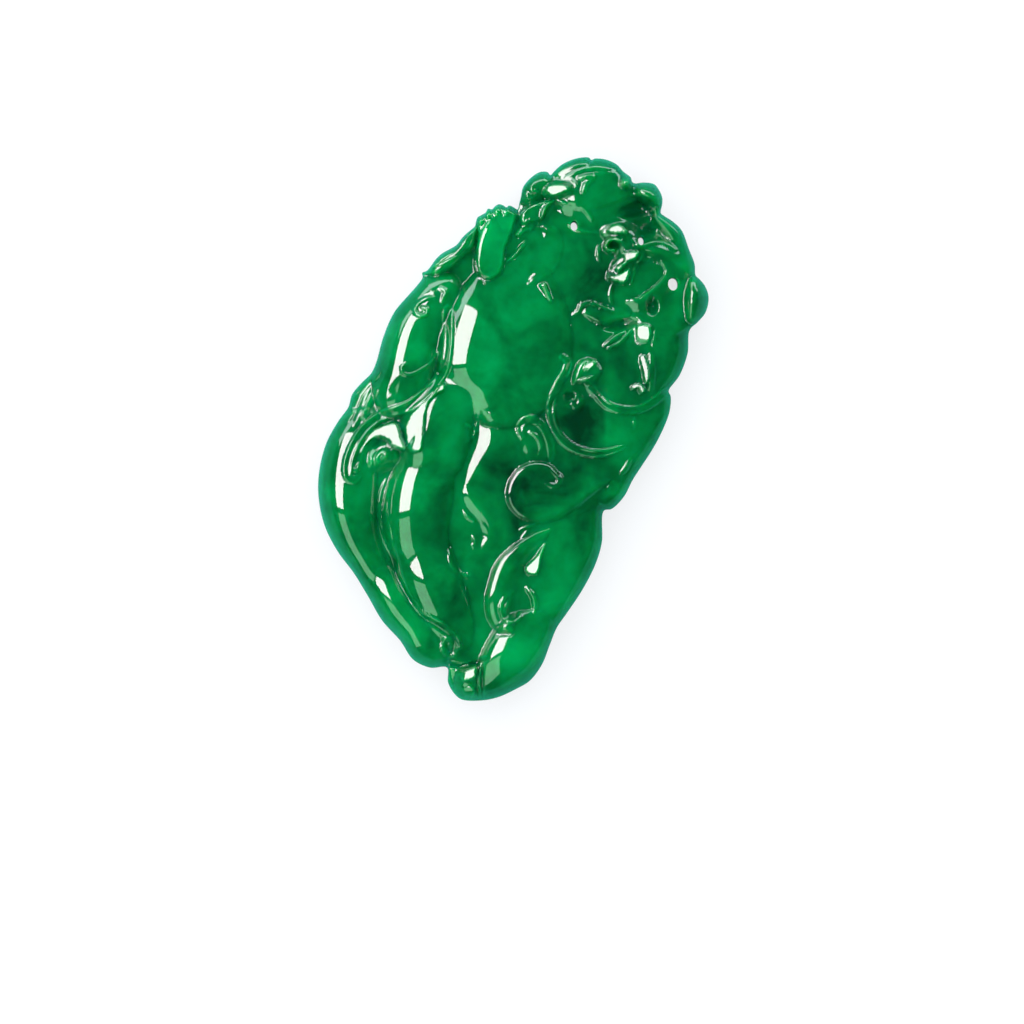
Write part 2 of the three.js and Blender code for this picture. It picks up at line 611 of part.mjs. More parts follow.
function stoneGeometry() {
  const points = [];
  const index = [];
  const lay = (list) => {
    const start = points.length;
    points.push(...list);
    return { start, count: list.length };
  };
  const girdle = lay(ring(RIM_POINTS, 1, () => GIRDLE));

  let outer = girdle;
  for (let i = 1; i < FRONT_RINGS; i += 1) {
    const edge = 1 - (i / FRONT_RINGS) ** RING_CROWDING;
    const count = Math.max(6, Math.round(RIM_POINTS * edge));
    const inner = lay(ring(count, edge, (x, y) => frontHeight(x, y, edge)));
    zip(inner, outer, true, index);
    outer = inner;
  }
  const crown = lay([[...HEART, frontHeight(...HEART, 0)]]);
  zip(crown, outer, true, index);

  outer = girdle;
  for (let i = BACK_RINGS - 1; i >= 1; i -= 1) {
    const angle = (i / BACK_RINGS) * (Math.PI / 2);
    const height = GIRDLE - BACK * Math.sqrt(Math.cos(angle));
    const inner = lay(ring(Math.round(outer.count / 2), Math.sin(angle), () => height));
    zip(inner, outer, false, index);
    outer = inner;
  }
  const heel = lay([[...HEART, GIRDLE - BACK]]);
  zip(heel, outer, false, index);

  const geometry = new THREE.BufferGeometry();
  geometry.setAttribute('position', new THREE.BufferAttribute(new Float32Array(points.flat()), 3));
  geometry.setIndex(index);
  return geometry;
}

function piercingSolid({ at, half }) {
  const geometry = new THREE.CylinderGeometry(1, 1, BIG, PIERCING_SIDES);
  geometry.rotateX(Math.PI / 2);
  geometry.scale(half[0], half[1], 1);
  geometry.translate(at[0], at[1], 0);
  return solidOf(geometry);
}

function underTheFlat() {
  const geometry = new THREE.BoxGeometry(BIG, BIG, BIG);
  geometry.translate(0, 0, -BIG / 2);
  return solidOf(geometry);
}

let stone = solidOf(stoneGeometry());
for (const piercing of PIERCINGS) stone = stone.subtract(piercingSolid(piercing));
stone = stone.subtract(underTheFlat());

const geometry = geometryOf(stone);
geometry.rotateZ(THREE.MathUtils.degToRad(LEAN));
geometry.computeBoundingBox();
const centre = geometry.boundingBox.getCenter(new THREE.Vector3());
geometry.translate(-centre.x, -centre.y, 0);

const jadeCarving = new THREE.Mesh(geometry, new THREE.MeshStandardMaterial({
  color: JADE.colour,
  roughness: JADE.roughness,
  metalness: JADE.metalness,
}));
jadeCarving.name = 'jade_carving';

const pendant = new THREE.Group();
pendant.add(jadeCarving);

export default pendant;
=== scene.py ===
"""A carved jadeite pendant lying on the flat of its back, seen from straight above.

Its front is drawn in millimetres on a sheet, x to the right and y up, where the pendant leans
to the right. A height over the sheet is built up from swelling lobes, cut forms with tilted
tops, carved lines and small hollows, and is laid on rings of points that run from the outline
in to the heart of the stone. All of it is then turned so that the long axis runs along Y.
"""
import math

import bpy
import numpy as np
from mathutils import Matrix


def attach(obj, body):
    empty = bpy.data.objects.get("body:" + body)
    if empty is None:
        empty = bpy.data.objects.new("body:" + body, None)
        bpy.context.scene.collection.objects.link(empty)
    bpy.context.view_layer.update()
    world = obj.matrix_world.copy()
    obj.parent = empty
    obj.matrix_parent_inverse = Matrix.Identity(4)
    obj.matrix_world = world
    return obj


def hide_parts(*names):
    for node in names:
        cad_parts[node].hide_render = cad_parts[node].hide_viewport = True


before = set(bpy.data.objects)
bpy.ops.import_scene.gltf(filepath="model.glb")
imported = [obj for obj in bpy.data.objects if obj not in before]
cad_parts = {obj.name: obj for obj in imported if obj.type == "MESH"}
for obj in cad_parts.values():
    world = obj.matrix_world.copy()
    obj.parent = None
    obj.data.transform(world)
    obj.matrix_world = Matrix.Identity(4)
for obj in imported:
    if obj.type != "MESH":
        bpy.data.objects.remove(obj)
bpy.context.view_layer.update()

# The stone, in millimetres on the sheet
MM = 0.001
LEAN = 17.5                # degrees that the long axis leans to the right
HEART = np.array((50.0, 58.0))  # the place that every ray of the outline starts from
GIRDLE = 4.9               # height of the widest line above the flat of the back
WALL = 1.5                 # height of the side above the girdle
DOME = 2.0                 # rise of the plain body from the side to the heart
BACK = 5.5                 # fall of the back below the girdle, before the flat is cut
RIM_FIRM = 24              # power by which the front turns down, late, to its outline
TOP_FIRMER = 90            # what that power gains along the top, where the edge is crisper
TOP_FROM, TOP_OVER = 70, 5  # where the top begins, and the length over which it gains this
NOTCH_WAVES = 9.0          # waves round the outline past which its notches are smoothed
LOBE_POWER = 0.62          # a lobe with steep sides
SOFT_POWER = 1.6           # a lobe that swells so gently that no edge shows
MELT = 0.25                # a third of the gap at which two heights begin to run together
TAPER = 0.6                # length over which the end of a carved line comes up
TAPER_START = 0.3          # share of the form that shows at its very end
LEAST_SHARE = 0.05         # of a carved line, so that it is never without a width
BAND_EDGE = 0.62           # share of a band's half width at which its raised edges are reached
POLISH = 0.9992            # the polish takes a hair off the sides
THIN_FROM = 0.955          # how far out, of the way to the outline, the stone begins to be thin and its edge is painted with a glow of light
CLOUD_END = 0.4            # width of a cloud's sharp end, where the painted shade in the bowl stops

# How finely it is meshed
RIM_STEP = 0.05            # between the samples of the outline
DIRECTIONS = 720           # in which the smoothed outline is known
RIM_POINTS = 1100          # on the outline
FRONT_RINGS = 150
RING_SPREAD = 1.15         # brings the rings closer together towards the outline
BACK_RINGS = 24
WIDE_BACK_RINGS = 3        # back rings by the outline that have more points than the rest
WIDE_SHARE, BACK_SHARE = 0.8, 0.5  # share of the points that they have, and that the rest have
LEAST_POINTS = 8           # in a ring
PIERCING_SIDES = 40
PIERCING_ENDS = (-2.0, 16.0)  # heights of a drill's two ends
HAIR = 1e-12               # keeps a division by a length of nothing from failing
SPECK = 1e-30              # the same for weights that fade out

OUTLINE = [
    (44.7, 33.2), (44.8, 31.7), (45.5, 30.5), (46.2, 30.0), (48.0, 29.9), (49.7, 30.2), (51.5, 31.0),
    (53.0, 31.9), (54.2, 33.5), (55.0, 35.5), (55.7, 37.2), (56.8, 38.8), (58.2, 40.9), (59.5, 43.4),
    (60.2, 45.7), (60.4, 48.9), (61.2, 49.1), (62.4, 50.3), (63.3, 52.0), (64.2, 53.4), (65.3, 55.1),
    (66.3, 57.0), (67.0, 58.9), (67.1, 60.4), (66.9, 60.9), (68.0, 62.5), (68.8, 64.7), (69.0, 67.0),
    (69.8, 67.8), (70.6, 68.8), (70.9, 70.3), (70.55, 71.4), (70.0, 72.1), (69.6, 72.5), (69.5, 73.6),
    (68.9, 75.2), (68.2, 77.0), (67.3, 77.9), (66.45, 78.45), (66.1, 78.75), (66.25, 79.6),
    (66.25, 80.3), (65.9, 81.1), (65.4, 81.65), (64.4, 81.8), (63.5, 81.72), (63.25, 81.85),
    (63.1, 82.3), (62.75, 82.6), (62.3, 82.95), (61.7, 83.6), (60.6, 84.1), (59.5, 84.2),
    (59.15, 84.05), (58.9, 84.3), (57.6, 84.2), (56.2, 83.6), (55.4, 82.9), (55.05, 82.55),
    (54.75, 82.85), (54.0, 82.85), (53.0, 82.2), (52.3, 81.3), (52.1, 80.4), (51.95, 79.8),
    (51.75, 79.1), (51.4, 79.3), (50.9, 79.5), (50.65, 79.3), (50.35, 79.5), (49.9, 79.63),
    (49.5, 79.42), (49.2, 79.12), (48.8, 79.18), (48.55, 78.78), (48.15, 78.55), (47.75, 78.3),
    (47.6, 77.9), (47.5, 77.45), (47.2, 77.15), (46.7, 76.75), (46.2, 76.25), (45.65, 75.55),
    (45.0, 75.15), (44.2, 74.7), (43.55, 74.1), (43.05, 73.4), (42.65, 72.95), (42.2, 72.75),
    (42.25, 72.3), (41.7, 71.5), (41.0, 70.7), (39.4, 68.8), (38.3, 66.3), (37.6, 63.8), (37.1, 62.7),
    (36.2, 61.8), (35.2, 60.6), (34.8, 59.3), (33.8, 57.9), (32.6, 55.7), (31.9, 53.0), (31.8, 50.5),
    (32.4, 47.5), (33.7, 44.9), (35.4, 42.6), (36.8, 40.3), (38.2, 37.9), (40.0, 35.9), (41.3, 34.0),
    (43.0, 33.2),
]

# Swelling lobes and domes: points of the crest as x, y, half width and rise above the plain body
LOBES = {
    "upper_left": [(44.7, 71.4, 1.4, 1.5), (43.5, 70.3, 2.2, 1.7), (42.2, 69.0, 2.7, 1.9),
        (41.1, 66.8, 3.0, 2.0), (40.5, 64.4, 3.2, 2.25), (40.2, 62.8, 3.0, 2.2), (40.0, 61.5, 2.8, 1.9),
        (39.6, 60.2, 2.2, 1.5)],
    "middle_top": [(49.7, 71.2, 2.6, 0.7), (49.4, 69.7, 3.5, 1.6), (48.8, 67.9, 4.1, 2.2),
        (48.0, 65.6, 4.3, 2.4), (47.5, 63.8, 4.0, 2.35)],
    "middle_right": [(51.6, 71.8, 3.2, 0.3), (51.4, 70.0, 4.6, 1.1), (51.2, 68.2, 5.6, 1.8),
        (51.2, 66.2, 6.2, 2.3), (50.8, 64.2, 6.2, 2.35), (50.4, 62.0, 5.2, 2.1)],
    "long_upper": [(46.6, 62.0, 1.7, 1.0), (45.6, 60.6, 2.5, 1.45), (44.1, 58.9, 3.3, 1.9),
        (43.5, 56.8, 3.7, 2.3), (43.1, 54.9, 3.7, 2.3)],
    "long_middle": [(42.6, 53.0, 2.9, 1.9), (42.0, 50.6, 3.4, 2.3), (41.6, 48.4, 3.4, 2.4),
        (41.7, 46.4, 3.1, 2.1), (42.1, 45.2, 3.0, 1.6)],
    "long_lower": [(42.4, 44.0, 3.0, 1.8), (43.1, 41.6, 3.1, 2.2), (44.3, 39.2, 2.8, 1.9),
        (45.2, 37.4, 2.2, 1.2), (45.8, 36.2, 1.5, 0.5)],
    "left": [(36.4, 57.8, 1.6, 0.7), (35.0, 55.4, 2.8, 1.5), (34.4, 52.0, 3.3, 2.0),
        (34.2, 48.8, 3.4, 2.4), (34.7, 46.2, 3.1, 2.2), (35.8, 43.8, 2.6, 1.5), (36.9, 42.2, 2.3, 0.9),
        (38.2, 40.4, 2.5, 1.5), (39.8, 38.2, 2.7, 1.8), (41.6, 35.9, 2.3, 1.6), (43.2, 34.6, 1.7, 1.0)],
    "right_low": [(58.8, 47.6, 2.6, 0.5), (57.4, 45.6, 3.8, 0.9), (56.4, 43.4, 3.9, 1.0),
        (55.6, 41.0, 3.4, 0.7), (54.6, 38.2, 3.0, 0.4)],
    "low_end": [(53.4, 37.0, 2.0, 0.8), (52.6, 35.8, 3.2, 1.9), (50.9, 33.6, 3.0, 1.95),
        (49.4, 31.8, 2.0, 1.2)],
    "tip": [(47.0, 32.1, 1.6, 1.3), (47.0, 31.2, 1.6, 1.1)],
    "right": [(61.6, 59.0, 4.0, 0.6), (62.4, 56.2, 4.4, 0.8), (61.6, 53.4, 4.0, 0.7)],
    "right_foot": [(63.4, 52.4, 1.2, 0.5), (62.0, 50.8, 1.4, 0.7), (60.8, 50.0, 1.1, 0.5)],
    "right_top": [(65.6, 69.0, 3.0, 0.6), (66.0, 66.0, 4.0, 1.0), (65.6, 63.2, 4.0, 1.0),
        (64.4, 61.2, 3.4, 0.7)],
    "right_middle": [(60.6, 65.8, 2.6, 0.4), (61.6, 63.4, 3.0, 0.6), (62.4, 61.4, 2.8, 0.5)],
    "cloud_base": [(37.4, 53.8, 1.5, 1.5), (38.8, 54.6, 1.7, 1.9)],
    "spiral": [(54.0, 51.0, 3.4, 0.7), (56.0, 50.6, 3.2, 0.8), (59.0, 50.8, 2.4, 0.6)],
    "arch": [(53.2, 56.6, 2.2, 0.6), (53.8, 55.2, 1.8, 0.5)],
    "beast_body": [(57.6, 70.8, 3.6, 0.4), (58.8, 72.6, 4.8, 0.7), (59.8, 75.0, 4.8, 0.5)],
    "ruyi_ball": [(53.0, 74.6, 4.2, 0.3), (53.4, 75.2, 4.2, 0.3)],
    "top_mass": [(54.0, 78.8, 3.0, 0.5), (57.6, 78.6, 3.2, 0.8), (62.0, 78.4, 3.4, 1.1)],
    "dome": [(57.0, 81.0, 1.3, 1.75), (57.8, 81.2, 2.6, 1.8), (59.3, 81.4, 4.6, 1.85),
        (61.4, 81.0, 3.0, 1.6)],
    "dome_boss": [(54.8, 80.9, 0.9, 2.4), (55.8, 81.0, 1.0, 2.6), (56.8, 81.1, 0.8, 2.5)],
    "curl": [(52.8, 80.2, 0.9, 1.7), (53.4, 81.2, 1.5, 2.2), (54.4, 81.8, 1.1, 2.1)],
    "dome_ball": [(62.4, 81.6, 0.8, 2.3), (62.8, 81.6, 0.8, 2.3)],
    "shell": [(64.2, 80.9, 1.0, 1.8), (65.2, 80.2, 1.4, 2.0), (65.6, 79.2, 0.8, 1.4)],
    "right_rim": [(66.0, 78.4, 0.9, 1.3), (67.4, 77.0, 1.2, 1.1), (68.4, 75.2, 1.2, 0.9),
        (68.9, 73.4, 1.0, 0.8)],
    "head": [(60.9, 76.8, 1.0, 1.3), (61.9, 76.7, 1.4, 1.6), (62.7, 76.0, 1.7, 1.8),
        (62.8, 75.0, 1.5, 1.5)],
    "snout": [(63.6, 74.6, 1.1, 1.4), (62.6, 73.8, 1.2, 1.35), (61.8, 73.0, 1.0, 1.1)],
    "jaw": [(63.2, 73.1, 0.7, 1.0), (62.0, 72.3, 0.8, 1.0), (61.1, 72.3, 0.6, 0.9)],
    "arm": [(63.6, 75.4, 1.2, 1.7), (65.4, 75.3, 1.5, 1.6), (67.2, 74.6, 1.5, 1.3),
        (68.6, 73.2, 1.3, 1.0)],
    "haunch": [(65.6, 72.9, 2.4, 0.8), (64.8, 72.2, 3.2, 0.9), (63.4, 70.9, 3.0, 0.7)],
    "knob": [(69.6, 71.6, 0.9, 1.6), (69.7, 70.0, 1.3, 2.2), (69.4, 68.4, 0.9, 1.6)],
}

# Lobes that swell so gently that no edge shows
SOFT_LOBES = [
    "right_low", "spiral", "arch", "right", "right_top", "right_middle", "beast_body", "ruyi_ball",
    "top_mass", "haunch", "arm", "cloud_base",
]

# Overlapping forms cut from the mass: rise at the middle, width of the rounding along the edge, the
# slope of the top to the right and up, and the outline
PLATES = {
    "petal": (1.9, 0.35, (0.0, -0.05), [(47.8, 72.6), (47.5, 74.6), (47.7, 76.6), (47.7, 78.3),
        (48.2, 78.4), (48.6, 79.1), (49.1, 79.1), (49.4, 79.6), (49.9, 79.4), (50.2, 79.6),
        (50.6, 79.6), (51.1, 79.1), (51.7, 78.6), (51.5, 77.6), (51.2, 76.6), (50.6, 75.0),
        (50.2, 72.8), (49.0, 71.9)]),
    "leaf": (1.6, 0.6, (0.0, 0.1), [(42.4, 72.8), (43.4, 72.4), (44.8, 72.9), (46.4, 74.2),
        (47.4, 75.2), (47.7, 77.6), (47.0, 77.1), (46.0, 76.0), (45.3, 75.2), (44.4, 74.7),
        (43.3, 73.9)]),
    "facet": (2.2, 0.4, (0.1, 0.0), [(51.9, 78.3), (52.6, 79.2), (53.8, 79.8), (55.4, 79.9),
        (54.8, 79.0), (54.3, 77.9), (53.2, 77.7), (52.1, 77.5)]),
    "button": (1.1, 0.12, (0.56, -0.02), [(63.7, 67.4), (65.0, 67.45), (64.9, 65.8), (63.8, 65.9)]),
    "cloud": (1.85, 0.15, (0.4, -0.1), [(35.6, 53.4), (35.9, 54.6), (36.4, 55.9), (37.0, 56.8),
        (38.0, 57.4), (39.7, 57.7), (40.2, 56.4), (40.6, 55.0), (39.5, 55.1), (38.6, 55.9),
        (37.8, 56.2), (37.1, 55.9), (36.5, 55.1), (36.1, 53.4)]),
    "flame": (0.9, 0.6, (0.0, 0.1), [(57.3, 61.6), (57.4, 62.8), (57.9, 63.8), (58.8, 64.2),
        (59.6, 63.9), (60.2, 63.0), (59.8, 62.0), (59.0, 61.5), (58.2, 61.8)]),
    "snout_top": (2.2, 0.12, (0.4, -0.05), [(62.2, 74.7), (63.9, 74.8), (63.6, 74.0), (62.7, 73.6),
        (61.7, 72.7), (61.5, 73.2), (62.4, 73.9)]),
    "jaw_side": (1.9, 0.12, (0.4, 0.0), [(60.6, 72.8), (60.8, 72.2), (61.4, 71.8), (62.4, 71.6),
        (63.0, 72.5), (62.9, 73.1), (61.9, 72.6), (61.2, 72.5)]),
    "eye_ring": (2.2, 0.12, (0.4, -0.05), [(62.3, 75.9), (61.6, 76.2), (60.7, 76.0), (60.4, 75.4),
        (60.6, 74.9), (61.6, 74.8), (61.5, 75.1), (60.9, 75.2), (60.8, 75.5), (61.2, 75.8),
        (62.1, 75.6)]),
    "brow": (2.45, 0.15, (0.36, -0.12), [(60.7, 76.8), (61.1, 77.4), (61.9, 77.6), (62.6, 77.2),
        (62.8, 76.6), (62.0, 76.5), (61.3, 76.5)]),
    "fold": (2.12, 0.12, (0.33, -0.2), [(44.5, 61.6), (43.9, 61.4), (43.0, 60.3), (42.0, 59.5),
        (41.0, 58.5), (40.6, 57.7), (40.4, 57.2), (40.5, 56.4), (40.7, 55.0), (42.0, 54.8),
        (42.4, 56.0), (42.5, 57.5), (42.7, 59.0), (43.1, 60.0), (43.8, 60.6), (44.5, 61.0)]),
    "boss_face": (2.95, 0.15, (0.32, 0.02), [(54.5, 80.9), (54.8, 81.4), (55.8, 81.6), (56.8, 81.4),
        (56.9, 80.9), (56.0, 80.4), (55.0, 80.3)]),
    "low_facet": (1.15, 0.12, (0.55, -0.26), [(54.5, 45.6), (53.6, 44.4), (52.5, 43.1), (52.8, 42.6),
        (53.7, 42.6), (54.2, 44.4)]),
    "tip_face": (1.45, 0.12, (0.42, -0.64), [(46.2, 31.9), (46.5, 33.0), (47.7, 33.4), (47.7, 32.6),
        (47.4, 32.1)]),
    "tip_low": (1.4, 0.15, (0.42, -0.2), [(46.2, 31.2), (47.4, 31.3), (47.4, 30.3), (46.4, 30.4)]),
    "flame_ridge": (1.3, 0.1, (0.4, -0.1), [(58.2, 63.0), (59.0, 62.95), (59.7, 63.8), (59.3, 64.0),
        (58.4, 63.4)]),
    "flame_low": (1.2, 0.1, (0.4, -0.1), [(57.6, 61.9), (58.4, 62.3), (59.3, 62.4), (58.9, 61.9),
        (58.0, 61.7)]),
    "shoulder": (1.2, 0.2, (0.42, 0.3), [(53.8, 71.5), (54.5, 71.7), (54.8, 71.2), (55.3, 69.6),
        (54.7, 70.0), (54.0, 71.1)]),
    "leg_strip": (1.25, 0.12, (0.6, -0.12), [(63.95, 64.4), (64.55, 64.5), (64.9, 61.9), (64.5, 61.5),
        (64.2, 62.8)]),
    "leg_foot": (1.15, 0.12, (0.6, -0.1), [(63.0, 61.3), (63.8, 61.7), (64.5, 61.3), (64.5, 60.7),
        (64.0, 60.6), (63.7, 61.1), (63.2, 60.9)]),
    "ruyi_sheen": (0.7, 0.3, (0.0, -0.5), [(51.5, 76.5), (51.9, 77.3), (52.7, 77.6), (53.5, 77.5),
        (53.3, 77.0), (52.5, 76.8), (51.9, 76.3)]),
}

